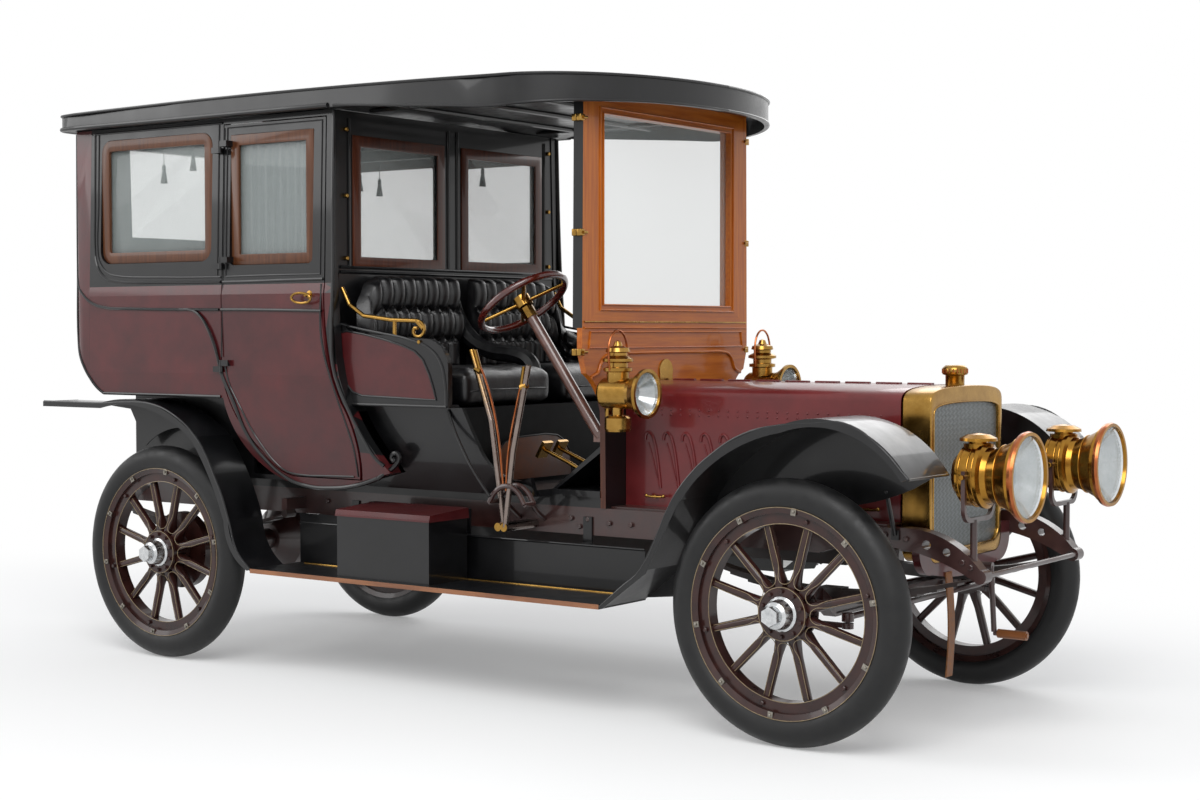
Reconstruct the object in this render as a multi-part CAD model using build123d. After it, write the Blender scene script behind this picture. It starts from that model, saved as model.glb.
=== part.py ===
"""An Edwardian limousine with an open driver's seat: one STEP file for each piece.

Millimetres. +X is forward, +Y is the car's left, +Z is up. The origin is on the ground,
midway between the axles and on the car's centre plane.
"""
from build123d import *
from math import cos, pi, sin
import os

os.makedirs("parts", exist_ok=True)

# Running gear
WHEEL_R = 457
AXLE_X = 1545
TRACK_HALF = 717
TYRE_R = 59
SPOKES = 12
HUB_REACH = 130
KINGPIN_Y = 575
STEER_ARM = 150
FRONT_SPRING = 560
REAR_SPRING = 540

# Chassis frame
RAIL_Y = 430
RAIL_WIDTH = 55
RAIL_LOW = 630
RAIL_REAR = -2110
RAIL_TOP = 735
CROSS_MEMBERS = (-2060, -1250, -500, 520)

# Fenders and running boards
END_X = 2262
BOARD_REAR = -953
BOARD_FRONT = 812
FRONT_SHIELD_Y = -500
REAR_SHIELD_Y = -602

# Body
CABIN_REAR = -2132
CABIN_FRONT = -530
BODY_TOP = 2290
FLOOR_Z = 800
WALL = 40
BOX_HALF = 560

# Roof
ROOF_HALF = 800
ROOF_FRONT = 920

# Front of the car
SCREEN_X = 560
BONNET_REAR = 585
BONNET_FRONT = 1752
BONNET_LOW = 742
RADIATOR_FRONT = 1865

# Driver's controls
COLUMN_FOOT = (525, -385, 1002)
COLUMN_HEAD = (150, -385, 1520)
WHEEL_RIM_R = 185
CRANK_Z = 573
LAMP_X = 2138

# Doors
HINGE_X = -1142
HINGE_HEIGHTS = (1262, 1690, 2170)


def edges_along(path, place):
    """Edges through a closed path. A step is a corner, or a (middle, end) pair for an arc."""
    edges = []
    here = path[0]
    for step in path[1:] + [path[0]]:
        if isinstance(step[0], tuple):
            middle, end = step
            edges.append(Edge.make_three_point_arc(place(here), place(middle), place(end)))
        else:
            end = step
            if end == here:
                continue
            edges.append(Edge.make_line(place(here), place(end)))
        here = end
    return edges


def slab(plane, path, low, high):
    """A solid with a closed outline in plane xz, yz or xy, from low to high across it."""
    places = {
        "xz": (lambda p: (p[0], low, p[1]), (0, 1, 0)),
        "yz": (lambda p: (low, p[0], p[1]), (1, 0, 0)),
        "xy": (lambda p: (p[0], p[1], low), (0, 0, 1)),
    }
    place, way = places[plane]
    face = Face(Wire(edges_along(path, place)))
    return Solid.extrude(face, Vector(way) * (high - low))


def block(x0, x1, y0, y1, z0, z1):
    return Pos((x0 + x1) / 2, (y0 + y1) / 2, (z0 + z1) / 2) * Box(x1 - x0, y1 - y0, z1 - z0)


def rod(start, end, radius, end_radius=None):
    """A round bar, or a cone when end_radius is given."""
    start, end = Vector(start), Vector(end)
    way = end - start
    plane = Plane(origin=start, z_dir=way)
    if end_radius is None:
        return Solid.make_cylinder(radius, way.length, plane)
    return Solid.make_cone(radius, end_radius, way.length, plane)


def turned(profile, origin, axis):
    """A solid of revolution: profile holds (radius, distance along axis) corners."""
    plane = Plane(origin=origin, z_dir=axis)
    points = [plane.from_local_coords((radius, 0, along)) for radius, along in profile]
    lines = [Edge.make_line(a, b) for a, b in zip(points, points[1:] + points[:1])]
    return Solid.revolve(Face(Wire(lines)), 360, Axis(origin, axis))


def bar(points, radius):
    """A bent round bar through the points, with a ball at each bend."""
    solid = rod(points[0], points[1], radius)
    for here, following in zip(points[1:], points[2:]):
        solid += Pos(*here) * Sphere(radius)
        solid += rod(here, following, radius)
    return solid


def other_side(shape):
    return shape.mirror(Plane.XZ)


def both_sides(shape):
    return Compound([*shape.solids(), *other_side(shape).solids()])


def save(name, shape):
    solids = shape.solids()
    export_step(solids[0] if len(solids) == 1 else Compound(solids), f"parts/{name}.step")


def save_pair(name, right_shape):
    """The right-hand piece, at -Y, and its mirror image."""
    save(f"{name}_right", right_shape)
    save(f"{name}_left", other_side(right_shape))


# Wheels

def tyre(x, y):
    """Smooth pneumatic tyre whose inner face sits on the steel rim."""
    carcass = Solid.make_torus(WHEEL_R - TYRE_R, TYRE_R, Plane(origin=(x, y, WHEEL_R), z_dir=(0, 1, 0)))
    rim_hole = rod((x, y - 80, WHEEL_R), (x, y + 80, WHEEL_R), 362)
    return carcass - rim_hole


def wheel(x, y, out, drum):
    """Wooden artillery wheel; out is +1 or -1 for the side its hub cap faces."""
    centre = (x, y, WHEEL_R)
    face = (0, out, 0)
    rim = turned([(340, -38), (340, 38), (361.5, 48), (361.5, -48)], centre, face)
    felloe = turned([(302, -26), (302, 26), (340, 26), (340, -26)], centre, face)
    barrel = turned([(36, -70), (36, 20), (60, 20), (60, 46), (92, 46), (92, 34), (78, 30),
                     (78, -30), (92, -34), (92, -46), (55, -46), (55, -70)], centre, face)
    made = rim + felloe + barrel
    for index in range(SPOKES):
        angle = 2 * pi * (index + 0.5) / SPOKES
        way = Vector(cos(angle), 0, sin(angle))
        foot = Vector(centre) + way * 60
        plane = Plane(origin=foot, x_dir=(0, 1, 0), z_dir=way)
        base = Wire.make_rect(56, 34, plane)
        neck = Wire.make_ellipse(19, 15, plane.offset(95))
        tip = Wire.make_ellipse(17, 14, plane.offset(246))
        made += Solid.make_loft([base, neck])
        made += Solid.make_loft([neck, tip])
    cap = turned([(0, 20), (60, 20), (60, 52), (52, 58), (46, 96), (36, 104), (0, 104)], centre, face)
    nut_plane = Plane(origin=(x, y + out * 96, WHEEL_R), z_dir=face)
    nut = extrude(nut_plane * RegularPolygon(34, 6), HUB_REACH - 96)
    made = made + cap + nut
    if drum:
        made += turned([(36, -70), (165, -70), (165, -112), (158, -112), (158, -78), (36, -78)],
                       centre, face)
    return made


for end, x in (("front", AXLE_X), ("rear", -AXLE_X)):
    for side, out in (("right", -1), ("left", 1)):
        y = out * TRACK_HALF
        save(f"tyre_{end}_{side}", tyre(x, y))
        save(f"wheel_{end}_{side}", wheel(x, y, out, drum=end == "rear"))


# Axles and steering

beam = slab("yz", [(-520, 470), (-430, 410), (430, 410), (520, 470), (520, 520), (430, 460),
                   (-430, 460), (-520, 520)], AXLE_X - 24, AXLE_X + 24)
beam -= slab("yz", [(-425, 420), (425, 420), (425, 448), (-425, 448)], AXLE_X - 26, AXLE_X - 12)
beam -= slab("yz", [(-425, 420), (425, 420), (425, 448), (-425, 448)], AXLE_X + 12, AXLE_X + 26)
for out in (-1, 1):
    boss = rod((AXLE_X, out * KINGPIN_Y, 425), (AXLE_X, out * KINGPIN_Y, 489), 27)
    arm = block(AXLE_X - 22, AXLE_X + 22, min(out * 500, out * 560), max(out * 500, out * 560), 440, 480)
    boss -= rod((AXLE_X, out * KINGPIN_Y, 400), (AXLE_X, out * KINGPIN_Y, 510), 15.3)
    arm -= rod((AXLE_X, out * KINGPIN_Y, 400), (AXLE_X, out * KINGPIN_Y, 510), 15.3)
    beam = beam + arm + boss
save("front_axle", beam)


def knuckle(out):
    """Forked stub axle on its kingpin, with the steering arm that points forward."""
    y = out * KINGPIN_Y
    x0, x1 = AXLE_X - 26, AXLE_X + 26
    made = block(x0, x1, *sorted((out * 608, out * 634)), 396, 524)
    for low, high in ((396, 419), (495, 524)):
        made += block(x0, x1, *sorted((y, out * 610)), low, high)
        made += rod((AXLE_X, y, low), (AXLE_X, y, high), 26)
    made += rod((AXLE_X, y, 410), (AXLE_X, y, 500), 15)
    made += rod((AXLE_X, out * 620, WHEEL_R), (AXLE_X, out * 734, WHEEL_R), 35.7)
    tip_x = AXLE_X + STEER_ARM
    made += block(AXLE_X, tip_x, y - 12, y + 12, 400, 415)
    made += rod((tip_x, y, 398), (tip_x, y, 417), 20)
    made += rod((tip_x, y, 410), (tip_x, y, 452), 8)
    return made


save_pair("knuckle", knuckle(-1))
tie = rod((AXLE_X + STEER_ARM, -560, 437), (AXLE_X + STEER_ARM, 560, 437), 11)
for out in (-1, 1):
    eye = (AXLE_X + STEER_ARM, out * KINGPIN_Y)
    tie += rod((*eye, 423), (*eye, 451), 21)
    tie -= rod((*eye, 380), (*eye, 470), 8.3)
save("tie_rod", tie)

axle = rod((-AXLE_X, -TRACK_HALF - 18, WHEEL_R), (-AXLE_X, TRACK_HALF + 18, WHEEL_R), 35.7)
axle += rod((-AXLE_X, -595, WHEEL_R), (-AXLE_X, 595, WHEEL_R), 48)
axle += turned([(0, -120), (70, -110), (145, -40), (145, 40), (70, 110), (0, 120)],
               (-AXLE_X, 0, WHEEL_R), (0, 1, 0))
save("rear_axle", axle)


def leaf_spring(x, half_length, seat_z, eye_z, y, leaves):
    """Stack of curved leaves, longest on top, clamped to the axle at its middle."""
    thick = 7.5
    made = None
    for index in range(leaves):
        reach = half_length * (1 - 0.8 * index / leaves)
        top = seat_z - thick * index
        rise = (eye_z - seat_z) * (reach / half_length) ** 2
        path = [(x - reach, top + rise), ((x, top), (x + reach, top + rise)),
                (x + reach, top + rise - thick),
                ((x, top - thick), (x - reach, top + rise - thick))]
        leaf = slab("xz", path, y - 27, y + 27)
        made = leaf if made is None else made + leaf
    for out in (-1, 1):
        eye = (x + out * half_length, eye_z - 4)
        made += rod((eye[0], y - 27, eye[1]), (eye[0], y + 27, eye[1]), 17)
    return made


front_leaves = leaf_spring(AXLE_X, FRONT_SPRING, 505, 590, -402, 6)
front_leaves += block(AXLE_X - 45, AXLE_X + 45, -430, -374, 460, 512)
front_springs = both_sides(front_leaves)
save("front_springs", front_springs)
rear_leaves = leaf_spring(-AXLE_X, REAR_SPRING, 560, 640, -520, 7)
rear_leaves += block(-AXLE_X - 55, -AXLE_X + 55, -550, -490, 480, 566)
rear_leaves -= rod((-AXLE_X, -595, WHEEL_R), (-AXLE_X, 595, WHEEL_R), 48)
rear_springs = both_sides(rear_leaves)
save("rear_springs", rear_springs)


# Chassis frame

def rail_side(out):
    """One side rail with its curved, drilled dumb iron at the front."""
    outer = out * RAIL_Y
    inner = out * (RAIL_Y - RAIL_WIDTH)
    path = [(RAIL_REAR, RAIL_LOW), (1500, RAIL_LOW), ((1900, 650), (2092, 572)),
            ((2132, 580), (2112, 612)), ((1990, 705), (1800, RAIL_TOP)), (RAIL_REAR, RAIL_TOP)]
    made = slab("xz", path, min(outer, inner), max(outer, inner))
    hollow = [(RAIL_REAR + 20, RAIL_LOW + 12), (1480, RAIL_LOW + 12), (1480, RAIL_TOP - 12), (RAIL_REAR + 20, RAIL_TOP - 12)]
    made -= slab("xz", hollow, min(out * 360, out * 422), max(out * 360, out * 422))
    for x, z, radius in ((1990, 664, 14), (1915, 684, 16)):
        made -= rod((x, outer + out * 5, z), (x, inner - out * 5, z), radius)
    return made


rail = rail_side(-1) - front_springs
save_pair("rail", rail)
brackets = [block(967, 1003, -426, -378, 600, RAIL_LOW) - front_springs,
            block(BONNET_REAR, BONNET_FRONT, -400, -285, RAIL_TOP, BONNET_LOW),
            block(1790, 1830, -375, -297, 650, 700)]
for x in (-AXLE_X - REAR_SPRING, -AXLE_X + REAR_SPRING):
    brackets.append(block(x - 15, x + 15, -547, -RAIL_Y, 653, 700) - rear_springs)
brackets = Compound([solid for bracket in brackets for solid in bracket.solids()])
save("frame_brackets", both_sides(brackets))

cross_members = Compound([block(x - 25, x + 25, -420, 420, RAIL_LOW + 12, RAIL_TOP - 14)
                          for x in CROSS_MEMBERS])
engine_feet = block(975, 1025, -380, -190, RAIL_LOW + 12, RAIL_TOP - 14)
front_members = [block(1675, 1725, -375, 375, RAIL_LOW + 12, RAIL_TOP - 14),
                 rod((2119, -375, 590), (2119, 375, 590), 9)]
save("cross_members", Compound([*cross_members.solids(), *front_members, *both_sides(engine_feet).solids()]))

save("engine_block", block(700, 1480, -190, 190, 560, 1040) + block(-120, 700, -150, 150, 480, RAIL_LOW + 12))

crank = rod((1805, 0, CRANK_Z), (1965, 0, CRANK_Z), 14)
crank += bar([(1958, 0, CRANK_Z), (1972, 0, 340)], 10)
crank += rod((1972, 0, 335), (2100, 0, 335), 9)
crank += rod((1988, 0, 335), (2096, 0, 335), 16)
save("starting_crank", crank)
crank_bearing = rod((1800, 0, CRANK_Z), (1868, 0, CRANK_Z), 30)
crank_bore = rod((1790, 0, CRANK_Z), (1880, 0, CRANK_Z), 14.3)


# Radiator and bonnet

def arch(half, low, shoulder, top):
    """Bonnet section: flat sides and a low pointed crown."""
    return [(-half, low), (half, low), (half, shoulder), ((half - 35, shoulder + 42), (half - 90, shoulder + 62)),
            (0, top), (-half + 90, shoulder + 62), ((-half + 35, shoulder + 42), (-half, shoulder))]


shell = slab("yz", arch(297, 600, 1105, 1214), 1755, RADIATOR_FRONT)
shell = fillet(shell.edges().filter_by(Axis.X).sort_by(Axis.Z)[:2], 55)
core_outline = [(-273, 700), ((-260, 657), (-215, 640)), (215, 640), ((260, 657), (273, 700)), (273, 1068),
                ((266, 1095), (240, 1108)), ((0, 1138), (-240, 1108)), ((-266, 1095), (-273, 1068))]
shell -= slab("yz", core_outline, 1740, RADIATOR_FRONT + 10)
neck = turned([(0, -20), (34, -20), (34, 40), (45, 44), (45, 66), (34, 76), (0, 78)],
              (1814, 0, 1210), (0, 0, 1))
save("radiator_shell", shell + neck + crank_bearing - crank_bore)

core = slab("yz", core_outline, 1765, RADIATOR_FRONT - 12)
save("radiator_core", core)

apron_outline = [(-375, 700), (-375, 640), ((-345, 585), (-270, 562)), ((0, 535), (270, 562)),
                 ((345, 585), (375, 640)), (375, 700)]
apron = slab("yz", apron_outline, 1834, RADIATOR_FRONT - 2)
apron -= slab("yz", [(-298, 701), (-298, 654), ((-281, 615), (-241, 599)), (241, 599), ((281, 615), (298, 654)),
                     (298, 701)], 1800, 1900)
apron -= rod((1800, 0, CRANK_Z), (1900, 0, CRANK_Z), 31)
save("front_apron", apron)

hood = slab("yz", arch(303, BONNET_LOW, 1112, 1216), BONNET_REAR, BONNET_FRONT)
hood -= slab("yz", arch(299, 700, 1109, 1211), BONNET_REAR - 10, BONNET_FRONT + 10)
for index in range(9):
    x = 700 + 42 * index
    louvre = Pos(x, -301, 935) * Box(12, 12, 180)
    hood += louvre
for x in (735, 1640):
    hood += block(x - 20, x + 20, -318, -302, 770, 790)
right_half = hood & block(0, 2000, -500, -0.5, 500, 1400)
save("bonnet", both_sides(right_half))


# Roof

roof_plan = [(-2150, -740), ((-2133, -783), (-2090, -ROOF_HALF)), (600, -ROOF_HALF), ((730, -780), (800, -690)),
             ((ROOF_FRONT, 0), (800, 690)), ((730, 780), (600, ROOF_HALF)), (-2090, ROOF_HALF),
             ((-2133, 783), (-2150, 740))]
roof_side = [(-2200, BODY_TOP), (-480, BODY_TOP), ((300, 2280), (960, 2205)), (960, 2330), ((-600, 2440), (-2200, 2350))]
roof = slab("xy", roof_plan, 2100, 2500) & slab("xz", roof_side, -900, 900)
roof &= slab("yz", [(-900, 2100), (900, 2100), (900, 2348), ((0, 2420), (-900, 2348))], -2300, 1000)
roof -= slab("xy", [(-540, -740), (600, -740), ((700, -720), (760, -640)), ((860, 0), (760, 640)),
                    ((700, 720), (600, 740)), (-540, 740)], 2100, 2500) & slab(
    "xz", [(-560, 2100), (-560, 2325), ((100, 2330), (900, 2290)), (900, 2100)], -900, 900)
save("roof", roof)


# Dash and windscreen

dash_path = [(-435, RAIL_TOP), (435, RAIL_TOP), (440, 1100), ((470, 1170), (560, 1250)), (586, 1330),
             (586, 1420), (-586, 1420), (-586, 1330), (-560, 1250), ((-470, 1170), (-440, 1100))]
dash = slab("yz", dash_path, SCREEN_X, SCREEN_X + 24)
save("dash", dash)

screen = slab("yz", [(-586, 1420), (586, 1420), (577, 2345), (-577, 2345)], SCREEN_X - 20, SCREEN_X + 24)
screen -= slab("yz", [(-450, 1510), (450, 1510), (450, 2225), (-450, 2225)], SCREEN_X - 40, SCREEN_X + 40)
save("windscreen_frame", screen - roof)
screen_glass = block(SCREEN_X - 3, SCREEN_X + 3, -450, 450, 1510, 2225)


# Lamps

def headlamp(out):
    """Acetylene lamp: beaded drum, waist, flared bezel and a low vented dome on top."""
    y = out * 370
    body = turned([(0, -140), (38, -140), (72, -128), (94, -108), (100, -104), (100, -92), (104, -88), (104, -40),
                   (111, -37), (111, -25), (98, -16), (92, 2), (102, 34), (126, 80), (134, 86), (134, 98),
                   (150, 103), (153, 114), (150, 124), (139, 124), (136, 112), (120, 86), (88, 34), (80, 6),
                   (84, -90), (0, -110)], (LAMP_X, y, 925), (1, 0, 0))
    dome = turned([(0, 80), (50, 80), (50, 107), (34, 108), (34, 115), (64, 116), (62, 126), (38, 138), (0, 143)],
                  (LAMP_X - 62, y, 925), (0, 0, 1))
    return body + dome


right_lamp = headlamp(-1)
save("headlamps", both_sides(right_lamp))
lamp_glass = turned([(0, 99), (140, 99), (140, 106), (0, 115)], (LAMP_X, -370, 925), (1, 0, 0)) - right_lamp


def lamp_bracket(out):
    """Forked iron bracket that stands on the dumb iron and holds the lamp's drum."""
    x, y = LAMP_X - 62, out * 370
    fork = [(y - 121, 945), (y - 121, 815), ((y - 104, 782), (y - 70, 770)), (y + 70, 770),
            ((y + 104, 782), (y + 121, 815)), (y + 121, 945), (y + 106, 945), (y + 106, 820),
            ((y + 92, 795), (y + 65, 786)), (y - 65, 786), ((y - 92, 795), (y - 106, 820)), (y - 106, 945)]
    made = slab("yz", fork, x - 7, x + 7)
    for edge in (-1, 1):
        made += rod((x, y + edge * 95, 925), (x, y + edge * 126, 925), 10)
    made += rod((x, out * 402, 640), (x, out * 402, 778), 12)
    return made - rod((x - 40, y, 925), (x + 40, y, 925), 104)


save("lamp_brackets", both_sides(lamp_bracket(-1) - rail))


def sidelamp(out):
    """Oil side lamp on the dash: drum and bezel, tiered chimney above, oil font below."""
    x, y, z = 725, out * 520, 1178
    made = turned([(0, -95), (30, -95), (52, -88), (58, -78), (58, 40), (64, 58), (86, 92), (92, 98), (92, 110),
                   (80, 110), (74, 92), (40, 44), (0, 44)], (x, y, z), (1, 0, 0))
    made += turned([(0, 40), (42, 40), (42, 78), (54, 82), (54, 94), (38, 98), (38, 112), (58, 118), (58, 128),
                    (36, 140), (36, 150), (46, 154), (42, 168), (18, 176), (12, 192), (0, 196)],
                   (x - 25, y, z), (0, 0, 1))
    made += turned([(0, -142), (46, -142), (50, -132), (50, -92), (40, -84), (22, -80), (22, -40), (0, -40)],
                   (x - 25, y, z), (0, 0, 1))
    made += block(SCREEN_X + 24, SCREEN_X + 38, *sorted((out * 400, out * 438)), 1070, 1130)
    made += bar([(SCREEN_X + 36, out * 420, 1105), (x - 60, out * 490, 1150)], 10)
    return made


save("sidelamps", both_sides(sidelamp(-1)))


# Fenders, running boards and splash shields

front_arch = [(BOARD_FRONT, 424), (991, 569), (1126, 823), ((1282, 985), (1558, 1095)),
              ((1790, 1110), (2030, 935))]
front_under = [(BOARD_FRONT, 418), (996, 566), (1132, 820), ((1287, 980), (1558, 1089)), ((1786, 1104), (2024, 932))]


def reversed_path(path):
    """The same run of corners and arcs, walked from its end to its start."""
    corners = [step if not isinstance(step[0], tuple) else step[1] for step in path]
    back = [corners[-1]]
    for index in range(len(path) - 1, 0, -1):
        step = path[index]
        if isinstance(step[0], tuple):
            back.append((step[0], corners[index - 1]))
        else:
            back.append(corners[index - 1])
    return back


def sheet_fender(over, under, lip, shield, inner_y):
    """Bent sheet crown with a deep outer lip and an upright shield along its inner edge."""
    crown = slab("xz", over + reversed_path(under), -800, inner_y)
    edge = slab("xz", over + reversed_path(lip), -800, -794)
    plate = slab("xz", shield, inner_y - 5, inner_y)
    return crown + edge + plate


front_shield = front_arch + [(1990, 930), (1905, 880), ((1700, 815), (1500, 800)), (1180, 800), (1060, 600), (960, 440)]
front_lip = [(BOARD_FRONT + 16, 418), (1013, 556), (1150, 810), ((1301, 962), (1558, 1070)), ((1776, 1083), (2004, 926))]
front_fender = sheet_fender(front_arch, front_under, front_lip, front_shield, FRONT_SHIELD_Y)
for x, z in ((1250, 820), (1800, 870)):
    front_fender += block(x - 15, x + 15, -RAIL_Y - 8, -RAIL_Y, 695, 728)
    front_fender += bar([(x, -RAIL_Y - 8, 712), (x, FRONT_SHIELD_Y - 2, z)], 8)
save("front_fenders", both_sides(front_fender))

rear_arch = [(-END_X, 1092), (-1875, 1092), ((-1551, 1096), (-1274, 965)), ((-1165, 810), (-1080, 627)),
             ((-1020, 480), (BOARD_REAR, 428))]
rear_under = [(-END_X, 1086), (-1875, 1086), ((-1553, 1089), (-1279, 961)), ((-1170, 807), (-1086, 625)),
              ((-1026, 478), (BOARD_REAR, 422))]
rear_shield = rear_arch + [(-1010, 428), ((-1135, 620), (-1300, 870)), ((-1545, 985), (-1800, 900)),
                           (-1900, 1060)]
rear_lip = [(-END_X, 1070), (-1875, 1070), ((-1562, 1072), (-1295, 947)), ((-1190, 795), (-1106, 618)),
            ((-1046, 474), (BOARD_REAR - 18, 422))]
rear_fender = sheet_fender(rear_arch, rear_under, rear_lip, rear_shield, REAR_SHIELD_Y)
for x, z in ((-1850, 1010), (-1330, 900)):
    rear_fender += block(x - 15, x + 15, REAR_SHIELD_Y - 2, -BOX_HALF, z, z + 40)
save("rear_fenders", both_sides(rear_fender))

board = block(BOARD_REAR, BOARD_FRONT, -800, -500, 414, 432)
board += block(BOARD_REAR, BOARD_FRONT, -506, -500, 432, 600)
for x in (-700, -100, 500):
    board += block(x - 20, x + 20, -500, -RAIL_Y, 520, 600)
    board += block(x - 20, x + 20, -RAIL_Y - 8, -RAIL_Y, 520, 700)
save("running_boards", both_sides(board))

box = block(-490, -10, -770, -540, 432, 674) - block(-482, -18, -762, -548, 441, 700)
save("toolbox", box)
lid = block(-496, -4, -776, -534, 674.5, 682)
lid += slab("yz", [(-776, 674.5), (-534, 674.5), (-540, 716), (-770, 700)], -496, -4)
save("toolbox_lid", lid)


# Coach body

def body_outline(inset):
    """Side view of the closed body, from the roof rail round the rear to the sill."""
    d = inset
    return [(CABIN_FRONT, BODY_TOP), (CABIN_REAR + d, BODY_TOP), (-2112 + d, 1615),
            ((-2058 + d, 1310), (-1913 + 0.5 * d, 1129 + d)), (-1160 - d, 1129 + d),
            ((-1100 - d, 950), (-905 - 0.5 * d, 790 + d)), (-777, 762 + d), (-649, 760 + d),
            (-300, 845 + d), ((-440, 1090), (-500, 1300)), (CABIN_FRONT, 1640)]


def body_section(inset):
    """Half-round tumblehome section: widest at the belt and drawn in towards the sill."""
    w = -inset
    return [(-735 - w, BODY_TOP), (-755 - w, 1600), ((-744 - w, 1120), (-625 - w, 750)), (625 + w, 750),
            ((744 + w, 1120), (755 + w, 1600)), (735 + w, BODY_TOP)]


def body_plan(inset):
    """Plan view with the two rear corners rounded."""
    back, half, r = CABIN_REAR + inset, 760 - inset, 110
    k = r * (1 - cos(pi / 4))
    return [(0, -half), (back + r, -half), ((back + k, -half + k), (back, -half + r)), (back, half - r),
            ((back + k, half - k), (back + r, half)), (0, half)]


def body_solid(inset):
    solid = slab("xz", body_outline(inset), -900, 900)
    solid &= slab("yz", body_section(inset), -2400, 100)
    solid &= slab("xy", body_plan(inset), 600, 2400)
    return solid


body = body_solid(0) - body_solid(WALL)
body -= block(-1950, 0, -600, 600, 500, 1180)
body -= block(CABIN_FRONT - 60, 0, -600, 600, 500, 2400)


def rounded(x0, x1, z0, z1, r=25):
    """Window outline in side view with rounded corners."""
    k = r * (1 - cos(pi / 4))
    return [(x0 + r, z0), (x1 - r, z0), ((x1 - k, z0 + k), (x1, z0 + r)), (x1, z1 - r), ((x1 - k, z1 - k), (x1 - r, z1)),
            (x0 + r, z1), ((x0 + k, z1 - k), (x0, z1 - r)), (x0, z0 + r), ((x0 + k, z0 + k), (x0 + r, z0))]


door_path = [(-1150, 2262), (-1150, 1260), ((-1105, 1075), (-986, 910)), ((-900, 830), (-819, 812)), (-474, 812),
             ((-446, 940), (-492, 1120)), ((-545, 1300), (-568, 1597)), (-572, 2262)]
door_hole = [(-1155, 2267), (-1155, 1258), ((-1110, 1072), (-990, 906)), ((-903, 825), (-819, 807)), (-462, 807),
             ((-434, 940), (-480, 1122)), ((-535, 1302), (-562, 1597)), (-566, 2267)]
door_window = rounded(-1110, -635, 1680, 2220)
quarter_window = rounded(-1920, -1220, 1700, 2240, 60)

right_wall = body & block(-2400, 200, -900, -600, 700, 2400)
right_wall -= slab("xz", door_hole, -900, -500)
right_wall -= slab("xz", quarter_window, -900, -500)
right_wall &= block(-1990, 200, -900, 0, 700, 2400)
for z in HINGE_HEIGHTS:
    right_wall += block(HINGE_X - 44, HINGE_X, -778, -768, z - 25, z - 1)
    right_wall += block(HINGE_X - 44, HINGE_X - 18, -770, -730, z - 25, z - 1)
    right_wall += rod((HINGE_X, -772, z - 25), (HINGE_X, -772, z - 1), 8)
save("cabin_sides", both_sides(right_wall))

rear_wall = body & block(-2400, -1990.5, -900, 900, 700, 2400)
rear_window = rounded(-280, 280, 1760, 2120, 60)
rear_wall -= slab("yz", rear_window, -2400, -2000)
save("cabin_rear", rear_wall)

door = body & slab("xz", door_path, -900, -500)
door -= slab("xz", door_window, -900, -500)
for z in HINGE_HEIGHTS:
    door += block(HINGE_X, HINGE_X + 44, -778, -730, z + 1, z + 25)
    door += rod((HINGE_X, -772, z + 1), (HINGE_X, -772, z + 25), 8)
save_pair("door", door)
save_pair("door_glass", slab("xz", door_window, -722, -716))
glass = [slab("xz", quarter_window, -722, -716), slab("xz", quarter_window, 716, 722)]
glass += [slab("yz", rear_window, -2111, -2105), *both_sides(lamp_glass).solids()]

division = slab("yz", body_section(WALL), CABIN_FRONT - 25, CABIN_FRONT - 5) & block(-700, 0, -800, 800, 1640, 2400)
division += slab("yz", body_section(WALL + 10), CABIN_FRONT - 25, CABIN_FRONT - 5) & block(
    -700, 0, -800, 800, FLOOR_Z, 1640)
division -= body
for y0, y1 in ((-580, -104), (104, 580)):
    window = rounded(y0, y1, 1694, 2161, 20)
    division -= slab("yz", window, CABIN_FRONT - 40, CABIN_FRONT + 20)
    glass += [slab("yz", window, CABIN_FRONT - 18, CABIN_FRONT - 12)]
division -= block(-700, 0, -800, -600, 500, 900)
division -= block(-700, 0, 600, 800, 500, 900)
save("cabin_division", division)
save("fixed_glass", Compound([*[pane.solid() for pane in glass], screen_glass.solid()]))

floor = block(-1150, CABIN_FRONT, -BOX_HALF, BOX_HALF, FLOOR_Z - 20, FLOOR_Z)
floor += block(-1920, -1150, -BOX_HALF, BOX_HALF, FLOOR_Z - 20, FLOOR_Z)
floor += block(-1920, -1170, -BOX_HALF, -BOX_HALF + 15, FLOOR_Z, 1129)
floor += block(-1920, -1170, BOX_HALF - 15, BOX_HALF, FLOOR_Z, 1129)
floor += block(-1920, -1905, -BOX_HALF, BOX_HALF, FLOOR_Z, 1129)
floor += block(-1900, CABIN_FRONT, -430, -375, RAIL_TOP, FLOOR_Z - 20)
floor += block(-1900, CABIN_FRONT, 375, 430, RAIL_TOP, FLOOR_Z - 20)
save("cabin_floor", floor)

seat = block(-1900, -1480, -540, 540, FLOOR_Z, 1270)
seat += block(-1985, -1860, -640, 640, 1271, 1660)
save("rear_seat", seat)


# Driver's compartment

def front_section(inset):
    """Lower front body: sides that lean inwards from the seat down to the frame."""
    w = -inset
    return [(-655 - w, 1112), ((-608 - w, 940), (-540 - w, 775)), (540 + w, 775), ((608 + w, 940), (655 + w, 1112))]


front_panel = [(CABIN_FRONT, 775), (330, 775), (330, 850), ((180, 860), (110, 960)), (60, 1112), (CABIN_FRONT, 1112)]
coach_side = slab("xz", body_outline(0), -900, 900)
front_sides = slab("yz", front_section(0), -700, 400) - slab("yz", front_section(20), -800, 500)
front_sides &= slab("xz", front_panel, -700, 700)
front_sides -= coach_side
front_sides -= block(-700, 400, -500, 500, 700, 1200)
save("front_body_sides", front_sides)

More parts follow.
